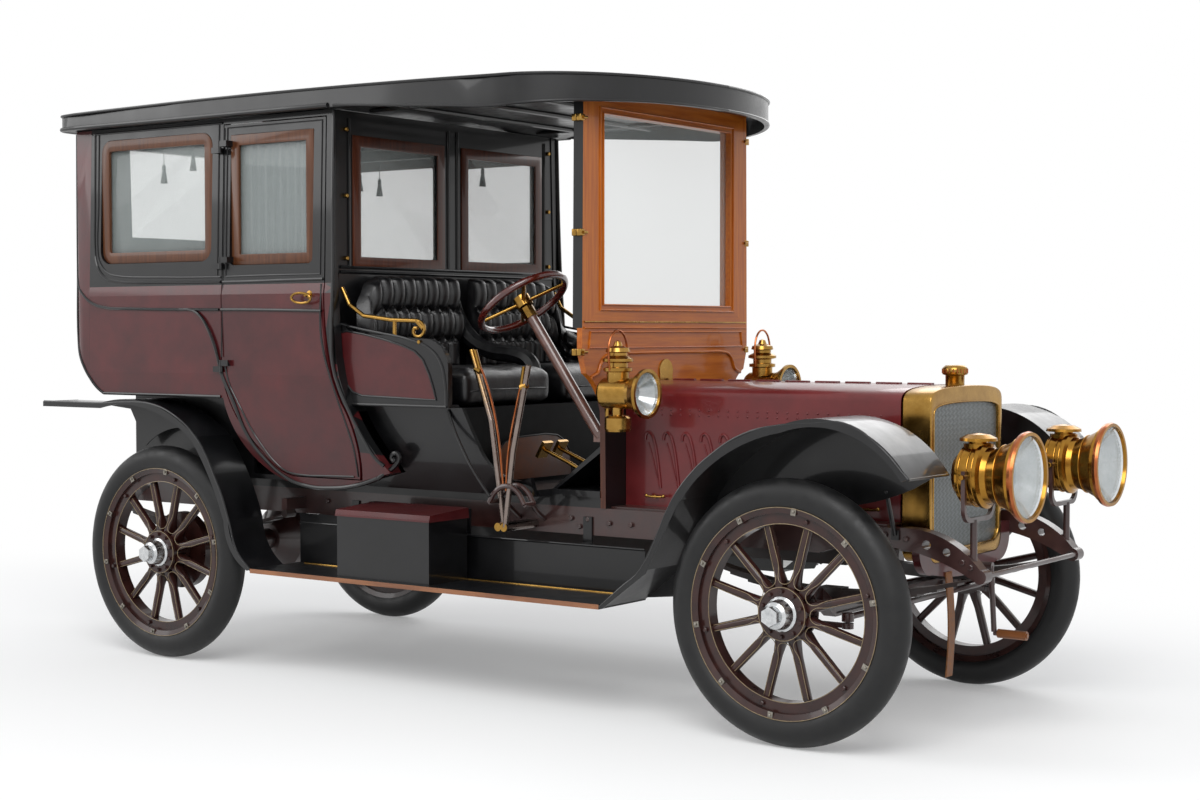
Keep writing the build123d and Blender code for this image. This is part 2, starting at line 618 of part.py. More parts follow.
inside = slab("yz", front_section(20), -700, 600)
front_floor = block(CABIN_FRONT, SCREEN_X, -700, 700, 775, FLOOR_Z) & inside
front_floor += block(20, 45, -700, 700, FLOOR_Z, 1110) & inside
front_floor += block(CABIN_FRONT, 20, -700, 700, 1085, 1110) & inside
front_floor -= block(335, 600, -700, -440, 700, 900) + block(335, 600, 440, 700, 700, 900)
front_floor += block(CABIN_FRONT, SCREEN_X, -430, -375, RAIL_TOP, 775)
front_floor += block(CABIN_FRONT, SCREEN_X, 375, 430, RAIL_TOP, 775)
front_floor += slab("xz", [(330, FLOOR_Z), (350, FLOOR_Z), (SCREEN_X, 950), (SCREEN_X, 975)], -430, 430)
front_floor -= body
save("front_floor", front_floor)

cushion = block(CABIN_FRONT, 60, -600, -15, 1110, 1255)
back = block(CABIN_FRONT, -400, -650, -10, 1255, 1640)
save("front_seat", both_sides(cushion + back - coach_side))

side_path = [(-545, 1112), (42, 1112), (42, 1245), ((20, 1330), (-90, 1378)), (-386, 1398),
             ((-500, 1430), (-545, 1500))]
seat_side = slab("xz", side_path, -715, -690) + slab("xz", [(-545, 1112), (42, 1112), (42, 1124), (-545, 1124)], -692, -650)
seat_side -= coach_side
save("seat_sides", both_sides(seat_side))

rail_points = [(-520, -702, 1580), (-480, -702, 1513), (-405, -702, 1469), (-257, -702, 1452),
               (-128, -702, 1448), (-92, -702, 1417)]
rail = bar(rail_points, 9) + rod((-241, -702, 1450), (-241, -702, 1380), 8)
save("seat_rails", both_sides(rail - seat_side - coach_side))


# Driver's controls

foot, head = Vector(COLUMN_FOOT), Vector(COLUMN_HEAD)
way = (head - foot).normalized()
save("steering_column", rod(foot, head - way * 30, 22) + block(505, SCREEN_X, -405, -365, 985, 1025))
hub_plane = Plane(origin=head, z_dir=way)
hand_wheel = Solid.make_torus(WHEEL_RIM_R, 14, hub_plane)
hand_wheel += rod(head - way * 22, head + way * 22, 34)
for index in range(4):
    angle = pi * (index + 0.5) / 2
    tip = hub_plane.from_local_coords((WHEEL_RIM_R * cos(angle), WHEEL_RIM_R * sin(angle), 0))
    hand_wheel += rod(head, tip, 8)
save("steering_wheel", hand_wheel)

levers = bar([(217, -592, 660), (154, -592, 1064), (56, -592, 1335)], 11)
levers += bar([(246, -622, 660), (286, -622, 952), (360, -622, 1279)], 11)
levers += rod((217, -632, 660), (217, -RAIL_Y, 660), 16)
levers += rod((246, -632, 660), (246, -RAIL_Y, 660), 16)
save("hand_levers", levers)

pedals = None
for y in (-330, -230):
    pedal = bar([(420, y, 855), (330, y, 895), (215, y, 940)], 8)
    pedal += Pos(212, y, 942) * Rot(0, 30, 0) * Box(14, 60, 70)
    pedals = pedal if pedals is None else pedals + pedal
save("pedals", pedals - front_floor)
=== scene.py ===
import bpy
import bmesh
from math import cos, hypot, pi, radians, sin, sqrt
from mathutils import Matrix, Vector


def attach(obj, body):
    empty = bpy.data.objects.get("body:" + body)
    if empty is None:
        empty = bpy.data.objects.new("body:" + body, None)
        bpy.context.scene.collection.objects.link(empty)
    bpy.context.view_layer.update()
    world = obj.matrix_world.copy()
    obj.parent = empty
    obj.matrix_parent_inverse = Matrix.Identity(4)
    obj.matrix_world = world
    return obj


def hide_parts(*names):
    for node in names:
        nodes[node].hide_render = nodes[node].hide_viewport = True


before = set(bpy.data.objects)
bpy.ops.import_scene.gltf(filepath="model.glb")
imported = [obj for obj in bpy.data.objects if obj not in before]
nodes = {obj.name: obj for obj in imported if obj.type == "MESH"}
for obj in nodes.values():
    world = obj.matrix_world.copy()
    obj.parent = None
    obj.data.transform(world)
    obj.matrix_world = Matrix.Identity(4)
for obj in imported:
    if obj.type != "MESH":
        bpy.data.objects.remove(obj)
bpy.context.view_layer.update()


# Chassis frame, axles and springs
# Pressed channel rails with forged dumb irons, under dark maroon chassis enamel that is
# brushed on and rubbed down. It gives a deep satin gloss with dust on what faces up.

def linear(hex_colour):
    """An sRGB hex colour as linear red, green, blue and alpha."""
    values = [int(hex_colour[i:i + 2], 16) / 255 for i in (1, 3, 5)]
    return tuple(v / 12.92 if v <= 0.04045 else ((v + 0.055) / 1.055) ** 2.4 for v in values) + (1.0,)


def add_node(tree, kind, values=None, links=None, **settings):
    """Adds a node; values are numbers on its sockets, links are socket: (node, output)."""
    node = tree.nodes.new(kind)
    for key, value in settings.items():
        setattr(node, key, value)
    for key, value in (values or {}).items():
        node.inputs[key].default_value = value
    for key, (source, output) in (links or {}).items():
        tree.links.new(source.outputs[output], node.inputs[key])
    return node


def new_material(name, **shader_values):
    """An empty material with one Principled shader; returns it, its tree and the shader."""
    made = bpy.data.materials.new(name)
    made.use_nodes = True
    tree = made.node_tree
    shader = tree.nodes["Principled BSDF"]
    for key, value in shader_values.items():
        shader.inputs[key.replace("_", " ")].default_value = value
    return made, tree, shader


def mottled(tree, shader, low, high, size_mm, rough=None, bump_mm=0.0, stretch=(1, 1, 1)):
    """Cloudy change between two colours at a real size, with roughness and height to match."""
    place = add_node(tree, "ShaderNodeTexCoord")
    drawn = add_node(tree, "ShaderNodeMapping", {"Scale": stretch}, {"Vector": (place, "Object")})
    cloud = add_node(tree, "ShaderNodeTexNoise", {"Scale": 1000 / size_mm, "Detail": 6, "Roughness": 0.6},
                     {"Vector": (drawn, "Vector")})
    spread = add_node(tree, "ShaderNodeMapRange", {"From Min": 0.32, "From Max": 0.68},
                      {"Value": (cloud, "Fac")})
    tint = add_node(tree, "ShaderNodeMix", {"A": linear(low), "B": linear(high)},
                    {"Factor": (spread, "Result")}, data_type="RGBA")
    tree.links.new(tint.outputs["Result"], shader.inputs["Base Color"])
    if rough:
        sheen = add_node(tree, "ShaderNodeMapRange", {"To Min": rough[0], "To Max": rough[1]},
                         {"Value": (spread, "Result")})
        tree.links.new(sheen.outputs["Result"], shader.inputs["Roughness"])
    if bump_mm:
        lift = add_node(tree, "ShaderNodeBump", {"Strength": 1.0, "Distance": bump_mm / 1000},
                        {"Height": (cloud, "Fac")})
        tree.links.new(lift.outputs["Normal"], shader.inputs["Normal"])
    return tint


def dusted(tree, shader, tint, dust, amount):
    """Pale dust on what faces up, over the paint's own colour."""
    place = add_node(tree, "ShaderNodeNewGeometry")
    up = add_node(tree, "ShaderNodeSeparateXYZ", None, {"Vector": (place, "Normal")})
    much = add_node(tree, "ShaderNodeMapRange", {"From Min": 0.3, "From Max": 1.0, "To Max": amount},
                    {"Value": (up, "Z")})
    mixed = add_node(tree, "ShaderNodeMix", {"B": linear(dust)},
                     {"Factor": (much, "Result"), "A": (tint, "Result")}, data_type="RGBA")
    tree.links.new(mixed.outputs["Result"], shader.inputs["Base Color"])


def wear(node_name, material):
    """Gives a CAD node one finish."""
    nodes[node_name].data.materials.clear()
    nodes[node_name].data.materials.append(material)


def wear_part(node_name, material, chosen):
    """Gives the faces of a CAD node that chosen(centre, normal) picks a second finish."""
    mesh = nodes[node_name].data
    mesh.materials.append(material)
    index = len(mesh.materials) - 1
    for polygon in mesh.polygons:
        if chosen(polygon.center, polygon.normal):
            polygon.material_index = index


def finish_piece(piece, name, material, body):
    """Names a new piece, gives it a finish and lets it ride on a body of the frame."""
    piece.name = name
    piece.data.name = name
    piece.data.materials.clear()
    piece.data.materials.append(material)
    bpy.ops.object.select_all(action="DESELECT")
    bpy.context.view_layer.objects.active = piece
    piece.select_set(True)
    bpy.ops.object.transform_apply(location=True, rotation=True, scale=True)
    bpy.ops.object.shade_smooth_by_angle(angle=radians(35))
    piece.select_set(False)
    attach(piece, body)
    return piece


def joined(pieces):
    """Joins finished shapes into the first one, as one mesh."""
    bpy.ops.object.select_all(action="DESELECT")
    for piece in pieces:
        piece.select_set(True)
    bpy.context.view_layer.objects.active = pieces[0]
    if len(pieces) > 1:
        bpy.ops.object.join()
    return bpy.context.view_layer.objects.active


def hex_bolt(place, facing, across_flats, height):
    """A bolt head with a domed end, standing on place and facing along a direction."""
    bpy.ops.object.select_all(action="DESELECT")
    bpy.ops.mesh.primitive_cylinder_add(vertices=6, radius=across_flats * 0.577, depth=height)
    head = bpy.context.object
    bpy.ops.object.mode_set(mode="EDIT")
    bpy.ops.mesh.select_mode(type="FACE")
    bpy.ops.mesh.select_all(action="DESELECT")
    shape = bmesh.from_edit_mesh(head.data)
    for face in shape.faces:
        face.select_set(face.normal.z > 0.9)
    bmesh.update_edit_mesh(head.data)
    bpy.ops.mesh.inset(thickness=across_flats * 0.12, depth=0)
    bpy.ops.transform.translate(value=(0, 0, height * 0.18))
    bpy.ops.object.mode_set(mode="OBJECT")
    head.rotation_euler = Vector(facing).to_track_quat("Z", "Y").to_euler()
    head.location = Vector(place) + Vector(facing) * height / 2
    bpy.ops.object.transform_apply(location=True, rotation=True, scale=True)
    return head


def round_strip(points, radius, closed=False, sharp=False):
    """A round bar along a smooth or straight line through points, as a mesh."""
    path = bpy.data.curves.new("strip", "CURVE")
    path.dimensions = "3D"
    path.bevel_depth = radius
    path.bevel_resolution = 2
    path.resolution_u = 5
    path.use_fill_caps = not closed
    line = path.splines.new("BEZIER")
    line.bezier_points.add(len(points) - 1)
    line.use_cyclic_u = closed
    for knot, place in zip(line.bezier_points, points):
        knot.co = place
        knot.handle_left_type = "VECTOR" if sharp else "AUTO"
        knot.handle_right_type = knot.handle_left_type
    strip = bpy.data.objects.new("strip", path)
    bpy.context.scene.collection.objects.link(strip)
    bpy.ops.object.select_all(action="DESELECT")
    bpy.context.view_layer.objects.active = strip
    strip.select_set(True)
    bpy.ops.object.convert(target="MESH")
    strip = bpy.context.object
    bpy.ops.object.mode_set(mode="EDIT")
    bpy.ops.mesh.select_all(action="SELECT")
    bpy.ops.mesh.remove_doubles(threshold=0.00001)
    bpy.ops.mesh.normals_make_consistent(inside=False)
    bpy.ops.object.mode_set(mode="OBJECT")
    return strip


# Dark maroon chassis enamel, brushed on: a brown-red gloss with faint dust on what faces up.
chassis_enamel, tree, shader = new_material("brushed chassis enamel", Coat_Weight=0.6, Coat_Roughness=0.12)
tint = mottled(tree, shader, "#2A1311", "#3B1D19", 90, rough=(0.30, 0.5), bump_mm=0.15)
dusted(tree, shader, tint, "#6A5A52", 0.12)
# Painted forged iron: grainy and dull brown, with broad highlights and more dust.
forged_iron, tree, shader = new_material("painted forged iron", Coat_Weight=0.3, Coat_Roughness=0.25)
tint = mottled(tree, shader, "#1C1311", "#2E211E", 35, rough=(0.42, 0.7), bump_mm=0.25)
dusted(tree, shader, tint, "#6E625A", 0.3)
for name in ("rail_right", "rail_left", "cross_members", "frame_brackets", "front_axle", "rear_axle",
             "tie_rod",
             "knuckle_right", "knuckle_left", "lamp_brackets", "starting_crank"):
    wear(name, chassis_enamel)
for name in ("front_springs", "rear_springs", "engine_block"):
    wear(name, forged_iron)

rail_face_y = 0.430
for side, out in (("right", -1), ("left", 1)):
    rivets = [hex_bolt((x, out * rail_face_y, z), (0, out, 0), 0.017, 0.009)
              for x, z in ((0.42, 0.69), (0.50, 0.69), (0.46, 0.66), (0.60, 0.68), (0.70, 0.68), (0.93, 0.70),
                           (1.04, 0.70), (1.76, 0.71), (1.84, 0.70), (2.05, 0.635), (2.08, 0.62),
                           (-0.62, 0.69), (-0.86, 0.69))]
    finish_piece(joined(rivets), f"rail_bolts_{side}", chassis_enamel, "chassis")


# Wheels
# Twelve ash spokes between a wooden felloe and a steel hub, painted dark red-brown and fine
# lined in tan. The tyre is smooth grey rubber held on the steel rim by ten clamp bolts.

wheel_radius = 0.457
axle_x = 1.545
track_half = 0.717
spoke_count = 12
clamp_count = 10
hub_bolt_count = 10
felloe_bolt_count = 6
# Brown-red paint on ash: smooth and glossy, with a little brush texture.
wheel_paint, tree, shader = new_material("wheel paint on ash", Specular_IOR_Level=0.3, Coat_Weight=0.4,
                                         Coat_Roughness=0.08)
mottled(tree, shader, "#24110F", "#381B16", 60, rough=(0.25, 0.42), bump_mm=0.12)
# Moulded black rubber: nearly matte, cloudy where it has worn.
tyre_rubber, tree, shader = new_material("smooth tyre rubber", IOR=1.52, Specular_IOR_Level=0.35)
mottled(tree, shader, "#111112", "#1C1C1C", 45, rough=(0.38, 0.6), bump_mm=0.3)
# Cast aluminium, turned and polished: bright and pale, with soft smears.
turned_aluminium, tree, shader = new_material("polished cast aluminium", Metallic=1.0)
mottled(tree, shader, "#B9BBBD", "#D8DADB", 25, rough=(0.16, 0.32), bump_mm=0.05)
# Hand-drawn tan lining paint: a thin, slightly glossy line.
tan_line, tree, shader = new_material("tan lining paint", Coat_Weight=0.4, Coat_Roughness=0.2)
mottled(tree, shader, "#75634A", "#93805F", 15, rough=(0.4, 0.55))
# Bright steel gone dull with handling: warm grey with soft highlights.
bare_steel, tree, shader = new_material("worn bright steel", Metallic=1.0)
mottled(tree, shader, "#77736C", "#9C978E", 14, rough=(0.3, 0.5), bump_mm=0.05)

for end, x in (("front", axle_x), ("rear", -axle_x)):
    for side, out in (("right", -1), ("left", 1)):
        centre = Vector((x, out * track_half, wheel_radius))
        facing = Vector((0, out, 0))
        body = f"wheel_{end}_{side}"
        wear(f"tyre_{end}_{side}", tyre_rubber)
        wear(body, wheel_paint)
        wear_part(body, turned_aluminium, lambda place, normal: (place - centre).dot(facing) > 0.0465
                  and hypot(place.x - centre.x, place.z - centre.z) < 0.063)
        bolts = []
        for index in range(hub_bolt_count):
            turn = 2 * pi * (index + 0.5) / hub_bolt_count
            place = centre + Vector((cos(turn) * 0.077, out * 0.046, sin(turn) * 0.077))
            bolts.append(hex_bolt(place, facing, 0.014, 0.010))
        for index in range(felloe_bolt_count):
            turn = 2 * pi * (index + 0.25) / felloe_bolt_count
            place = centre + Vector((cos(turn) * 0.324, out * 0.026, sin(turn) * 0.324))
            bolts.append(hex_bolt(place, facing, 0.015, 0.009))
        finish_piece(joined(bolts), f"hub_bolts_{end}_{side}", wheel_paint, body)
        clamps = []
        for index in range(clamp_count):
            turn = 2 * pi * (index + 0.3) / clamp_count
            away = Vector((cos(turn), 0, sin(turn)))
            bpy.ops.object.select_all(action="DESELECT")
            bpy.ops.mesh.primitive_cube_add(size=1)
            plate = bpy.context.object
            plate.scale = (0.026, 0.020, 0.007)
            bpy.ops.object.transform_apply(location=False, rotation=False, scale=True)
            edge = plate.modifiers.new("edge", "BEVEL")
            edge.width = 0.0015
            edge.segments = 2
            bpy.ops.object.modifier_apply(modifier="edge")
            plate.matrix_world = Matrix.Translation(centre + away * 0.350 + facing * 0.044) @ Matrix(
                (away, facing.cross(away), facing)).transposed().to_4x4()
            bpy.ops.object.transform_apply(location=True, rotation=True, scale=True)
            clamps.append(plate)
            clamps.append(hex_bolt(centre + away * 0.350 + facing * 0.047, facing, 0.010, 0.006))
        finish_piece(joined(clamps), f"rim_clamps_{end}_{side}", bare_steel, body)
        lines = []
        for radius, height in ((0.3605, 0.0485), (0.3035, 0.0265), (0.0905, 0.0465)):
            bpy.ops.object.select_all(action="DESELECT")
            bpy.ops.mesh.primitive_torus_add(major_radius=radius, minor_radius=0.0015, major_segments=96,
                                             minor_segments=8, location=centre + facing * height,
                                             rotation=(pi / 2, 0, 0))
            lines.append(bpy.context.object)
        for index in range(spoke_count):
            turn = 2 * pi * index / spoke_count
            half_gap = pi / spoke_count
            knots = []
            for away, edge, height in ((0.298, -0.010, 0.0145), (0.225, -0.0108, 0.0143),
                                       (0.160, -0.011, 0.0145),
                                       (0.112, -0.007, 0.026), (0.100, 0.0, 0.031)):
                knots.append((away, edge, height))
            knots += [(away, -edge, height) for away, edge, height in reversed(knots[:-1])]
            path = []
            for step, (away, edge, height) in enumerate(knots):
                spoke = turn + (half_gap if step > 4 else -half_gap if step < 4 else 0)
                along = Vector((cos(spoke), 0, sin(spoke)))
                beside = Vector((-sin(spoke), 0, cos(spoke)))
                path.append(centre + along * away - beside * edge + facing * height)
            lines.append(round_strip(path, 0.0013))
        finish_piece(joined(lines), f"wheel_lining_{end}_{side}", tan_line, body)


# Radiator
# A polished brass shell round a honeycomb core of soldered tubes, over a maroon apron. Brass
# shows as warm yellow metal with faint tarnish, the core as dull tinned metal in zigzag rows,
# with painted shade in the cells between them.

radiator_front = 1.865
# Hand-polished brass: warm gold with slightly cloudy highlights.
polished_brass, tree, shader = new_material("polished brass", Metallic=1.0)
mottled(tree, shader, "#8E6A30", "#AD8848", 90, rough=(0.2, 0.3))
# Polished copper: a redder glint than the brass beside it.
copper_trim, tree, shader = new_material("polished copper trim", Metallic=1.0)
mottled(tree, shader, "#95502C", "#B87249", 60, rough=(0.2, 0.3))
# Tinned honeycomb: grey zigzag walls, with painted shade for the open cells between them.
# Cells are 11 mm apart, coarser than real ones, so they show.
core_metal, tree, shader = new_material("tinned honeycomb", Metallic=0.7, Roughness=0.42)
place = add_node(tree, "ShaderNodeTexCoord")
axes = add_node(tree, "ShaderNodeSeparateXYZ", None, {"Vector": (place, "Object")})
zigzag = add_node(tree, "ShaderNodeMath", {1: 0.009}, {0: (axes, "Z")}, operation="PINGPONG")
slanted = add_node(tree, "ShaderNodeMath", {1: 0.7}, {0: (zigzag, "Value")}, operation="MULTIPLY")
rows = add_node(tree, "ShaderNodeMath", None, {0: (axes, "Y"), 1: (slanted, "Value")}, operation="ADD")
cell = add_node(tree, "ShaderNodeMath", {1: 0.0055}, {0: (rows, "Value")}, operation="PINGPONG")
wall = add_node(tree, "ShaderNodeMapRange", {"From Min": 0.001, "From Max": 0.0042},
                {"Value": (cell, "Value")})
# The pale colour is the tinned walls; the dark colour is painted shade down the open cells.
tint = add_node(tree, "ShaderNodeMix", {"A": linear("#24282A"), "B": linear("#9DA3A4")},
                {"Factor": (wall, "Result")}, data_type="RGBA")
tree.links.new(tint.outputs["Result"], shader.inputs["Base Color"])
lift = add_node(tree, "ShaderNodeBump", {"Strength": 1.0, "Distance": 0.002}, {"Height": (wall, "Result")})
tree.links.new(lift.outputs["Normal"], shader.inputs["Normal"])
shell_half = 0.297
shell_top = 1.2145
shell_low = 0.600


def crowned_loop(half, low, corner, base, top):
    """Front outline of the radiator: straight sides, rounded foot and a softly arched top."""
    places = []
    for index in range(7):
        turn = pi / 2 * index / 6
        places.append((-half + corner * (1 - sin(turn)), low + corner * (1 - cos(turn))))
    places.reverse()
    places = [(y, z) for y, z in places]
    left = sorted(places, key=lambda spot: spot[1])
    crown = []
    for index in range(-24, 25):
        share = sin(pi / 2 * index / 24)
        crown.append((half * share, base + (top - base) * max(0.0, 1 - abs(share) ** 2.6) ** 0.127))
    right = [(-y, z) for y, z in reversed(left)]
    return left + crown + right


def framed_prism(outer, inner, back, front):
    """A frame between two matching outlines, or a solid slab where inner is None."""
    made = bmesh.new()
    loops = []
    for outline in (outer, inner):
        for x in (back, front):
            loops.append([made.verts.new((x, y, z)) for y, z in outline] if outline else None)
    outer_back, outer_front, inner_back, inner_front = loops
    count = len(outer)
    for k in range(count):
        n = (k + 1) % count
        made.faces.new((outer_back[k], outer_back[n], outer_front[n], outer_front[k]))
        if inner:
            made.faces.new((inner_front[k], inner_front[n], inner_back[n], inner_back[k]))
            made.faces.new((outer_front[k], outer_front[n], inner_front[n], inner_front[k]))
            made.faces.new((inner_back[k], inner_back[n], outer_back[n], outer_back[k]))
    if not inner:
        made.faces.new(outer_front)
        made.faces.new(list(reversed(outer_back)))
    bmesh.ops.recalc_face_normals(made, faces=made.faces)
    mesh = bpy.data.meshes.new("prism")
    made.to_mesh(mesh)
    made.free()
    prism = bpy.data.objects.new("prism", mesh)
    bpy.context.scene.collection.objects.link(prism)
    return prism


def cad_copy(node_name, kept):
    """A merged copy of a CAD node with only the faces that kept(centre) picks."""
    copy = nodes[node_name].copy()
    copy.data = nodes[node_name].data.copy()
    bpy.context.scene.collection.objects.link(copy)
    shape = bmesh.new()
    shape.from_mesh(copy.data)
    bmesh.ops.remove_doubles(shape, verts=shape.verts, dist=0.00002)
    bmesh.ops.delete(shape, geom=[face for face in shape.faces if not kept(face.calc_center_median())],
                     context="FACES")
    shape.to_mesh(copy.data)
    shape.free()
    return copy


def softened(piece, width, segments=3):
    """Rounds the edges of a piece with a bevel."""
    bpy.ops.object.select_all(action="DESELECT")
    bpy.context.view_layer.objects.active = piece
    piece.select_set(True)
    soft = piece.modifiers.new("soft", "BEVEL")
    soft.width = width
    soft.segments = segments
    soft.limit_method = "ANGLE"
    soft.angle_limit = radians(40)
    bpy.ops.object.modifier_apply(modifier="soft")
    return piece


outer_loop = crowned_loop(shell_half, shell_low, 0.055, 1.10, shell_top)
core_loop = crowned_loop(0.272, 0.640, 0.055, 1.075, 1.158)
shell = softened(framed_prism(outer_loop, core_loop, 1.755, radiator_front - 0.0005), 0.004)
fittings = cad_copy("radiator_shell", lambda centre: centre.z > 1.2146 or (
    centre.x < 1.90 and hypot(centre.y, centre.z - 0.573) < 0.0305))
shell = finish_piece(joined([shell, fittings]), "radiator_brass_shell", polished_brass, "chassis")
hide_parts("radiator_shell")
core = finish_piece(framed_prism(core_loop, None, 1.765, 1.853), "radiator_honeycomb", core_metal, "chassis")
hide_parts("radiator_core")
rim_path = [(radiator_front - 0.002, y, z) for y, z in core_loop]
finish_piece(round_strip(rim_path, 0.004, closed=True), "radiator_rim_bead", polished_brass, "chassis")

cap_ring = []
for index in range(20):
    turn = 2 * pi * index / 20
    way = Vector((cos(turn), sin(turn), 0))
    cap_ring.append(round_strip([Vector((1.814, 0, 1.258)) + way * 0.0452,
                                 Vector((1.814, 0, 1.274)) + way * 0.0452],
                                0.0022, sharp=True))
finish_piece(joined(cap_ring), "filler_cap_grip", copper_trim, "chassis")


# Bonnet
# Two folded sheets of maroon coach enamel, hinged along the middle with a continuous hinge,
# with pressed louvres, a double row of rivets along each shoulder and two brass latches a side.

# Maroon paint under many coats of varnish: deep wine red with a wet shine.
coach_maroon, tree, shader = new_material("maroon coach paint", Specular_IOR_Level=0.3, Coat_Weight=0.45,
                                          Coat_Roughness=0.08)
tint = mottled(tree, shader, "#3E0F12", "#521719", 170, rough=(0.28, 0.42), bump_mm=0.1)
dusted(tree, shader, tint, "#7C4A48", 0.10)
# The same varnished paint in a redder maroon, on sheet metal.
bonnet_red, tree, shader = new_material("red-maroon bonnet paint", Specular_IOR_Level=0.3, Coat_Weight=0.45,
                                        Coat_Roughness=0.08)
tint = mottled(tree, shader, "#561416", "#6C1D1F", 170, rough=(0.28, 0.42), bump_mm=0.1)
dusted(tree, shader, tint, "#8C5350", 0.10)
# Black coach enamel under varnish: near black with clear, soft-edged reflections.
coach_black, tree, shader = new_material("black coach enamel", Specular_IOR_Level=0.3, Coat_Weight=0.45,
                                         Coat_Roughness=0.07)
tint = mottled(tree, shader, "#060607", "#0F0F11", 120, rough=(0.3, 0.45), bump_mm=0.08)
dusted(tree, shader, tint, "#3A3C40", 0.10)
wear("front_apron", coach_maroon)

bonnet_rear = 0.585
bonnet_front = 1.752
bonnet_half = 0.3025
bonnet_low = 0.742
bonnet_outline = [(-bonnet_half, bonnet_low)]
bonnet_inside = [(-bonnet_half + 0.003, bonnet_low)]
for index in range(-24, 25):
    share = sin(pi / 2 * index / 24)
    rise = max(0.0, 1 - abs(share) ** 2.6) ** 0.127
    bonnet_outline.append((bonnet_half * share, 1.10 + 0.1155 * rise))
    bonnet_inside.append(((bonnet_half - 0.003) * share, 1.097 + 0.1155 * rise))
bonnet_outline.append((bonnet_half, bonnet_low))
bonnet_inside.append((bonnet_half - 0.003, bonnet_low))
skin = bonnet_outline + bonnet_inside[::-1]
bonnet_skin = finish_piece(framed_prism(skin, None, bonnet_rear, bonnet_front), "bonnet_sheets", bonnet_red,
                           "chassis")
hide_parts("bonnet")
rivet_pitch = 0.042
for side, out in (("right", -1), ("left", 1)):
    rivets = []
    count = int((bonnet_front - bonnet_rear - 0.06) / rivet_pitch)
    for index in range(count):
        for z in (1.112, 1.093):
            x = bonnet_rear + 0.04 + rivet_pitch * index
            bpy.ops.object.select_all(action="DESELECT")
            bpy.ops.mesh.primitive_uv_sphere_add(segments=10, ring_count=6, radius=0.0042,
                                                 location=(x, out * 0.303, z))
            head = bpy.context.object
            head.scale = (1, 0.7, 1)
            bpy.ops.object.transform_apply(location=True, rotation=True, scale=True)
            rivets.append(head)
    finish_piece(joined(rivets), f"bonnet_rivets_{side}", bonnet_red, "chassis")
    hinges = []
    for start in range(9):
        x = bonnet_rear + 0.02 + start * 0.128
        hinges.append(round_strip([(x, out * 0.004, 1.2175), (x + 0.10, out * 0.004, 1.2175)], 0.0042,
                                  sharp=True))
    finish_piece(joined(hinges), f"bonnet_hinge_{side}", bonnet_red, "chassis")
    louvres = []
    face = out * (bonnet_half + 0.0005)
    for index in range(8):
        x = 0.0835 * index
        blade = [(x + px, face, z) for px, z in ((0.676, 0.995), (0.679, 1.014), (0.689, 1.024),
                                                 (0.703, 1.018),
                                                 (0.717, 0.990), (0.729, 0.940), (0.738, 0.880),
                                                 (0.746, 0.812))]
        louvres.append(round_strip(blade, 0.0062))
        blade = [(x + px, face, z) for px, z in ((0.690, 0.985), (0.706, 0.940), (0.722, 0.880),
                                                 (0.743, 0.812))]
        louvres.append(round_strip(blade, 0.0030))
    finish_piece(joined(louvres), f"bonnet_louvres_{side}", bonnet_red, "chassis")
    latches = []
    for x in (0.735, 1.640):
        bar = [(x - 0.038, out * 0.326, 0.784), (x - 0.030, out * 0.326, 0.782),
               (x + 0.030, out * 0.326, 0.782),
               (x + 0.038, out * 0.326, 0.784)]
        latches.append(round_strip(bar, 0.0045))
        latches.append(round_strip([(x, out * 0.304, 0.780), (x, out * 0.328, 0.782)], 0.006, sharp=True))
        for end in (-0.038, 0.038):
            bpy.ops.object.select_all(action="DESELECT")
            bpy.ops.mesh.primitive_uv_sphere_add(segments=12, ring_count=8, radius=0.0075,
                                                 location=(x + end, out * 0.326, 0.784))
            latches.append(bpy.context.object)
    finish_piece(joined(latches), f"bonnet_latches_{side}", polished_brass, "chassis")


# Fenders, running boards and toolbox
# Rolled sheet under black enamel with a wired edge. The boards are wood, black on top, with a
# worn brown edge and a brass strip. The box is black with a maroon lid.

# Worn brown edging on the running boards: streaked along the board, half matte.
board_edge, tree, shader = new_material("worn brown board edge", Coat_Weight=0.3, Coat_Roughness=0.3)
mottled(tree, shader, "#6E4128", "#A06A44", 40, rough=(0.45, 0.65), bump_mm=0.3, stretch=(0.15, 1, 1))
for name in ("front_fenders", "rear_fenders", "running_boards", "toolbox"):
    wear(name, coach_black)
wear("toolbox_lid", coach_maroon)
wear_part("running_boards", board_edge, lambda place, normal: abs(place.y) > 0.799 and abs(normal.y) > 0.9)

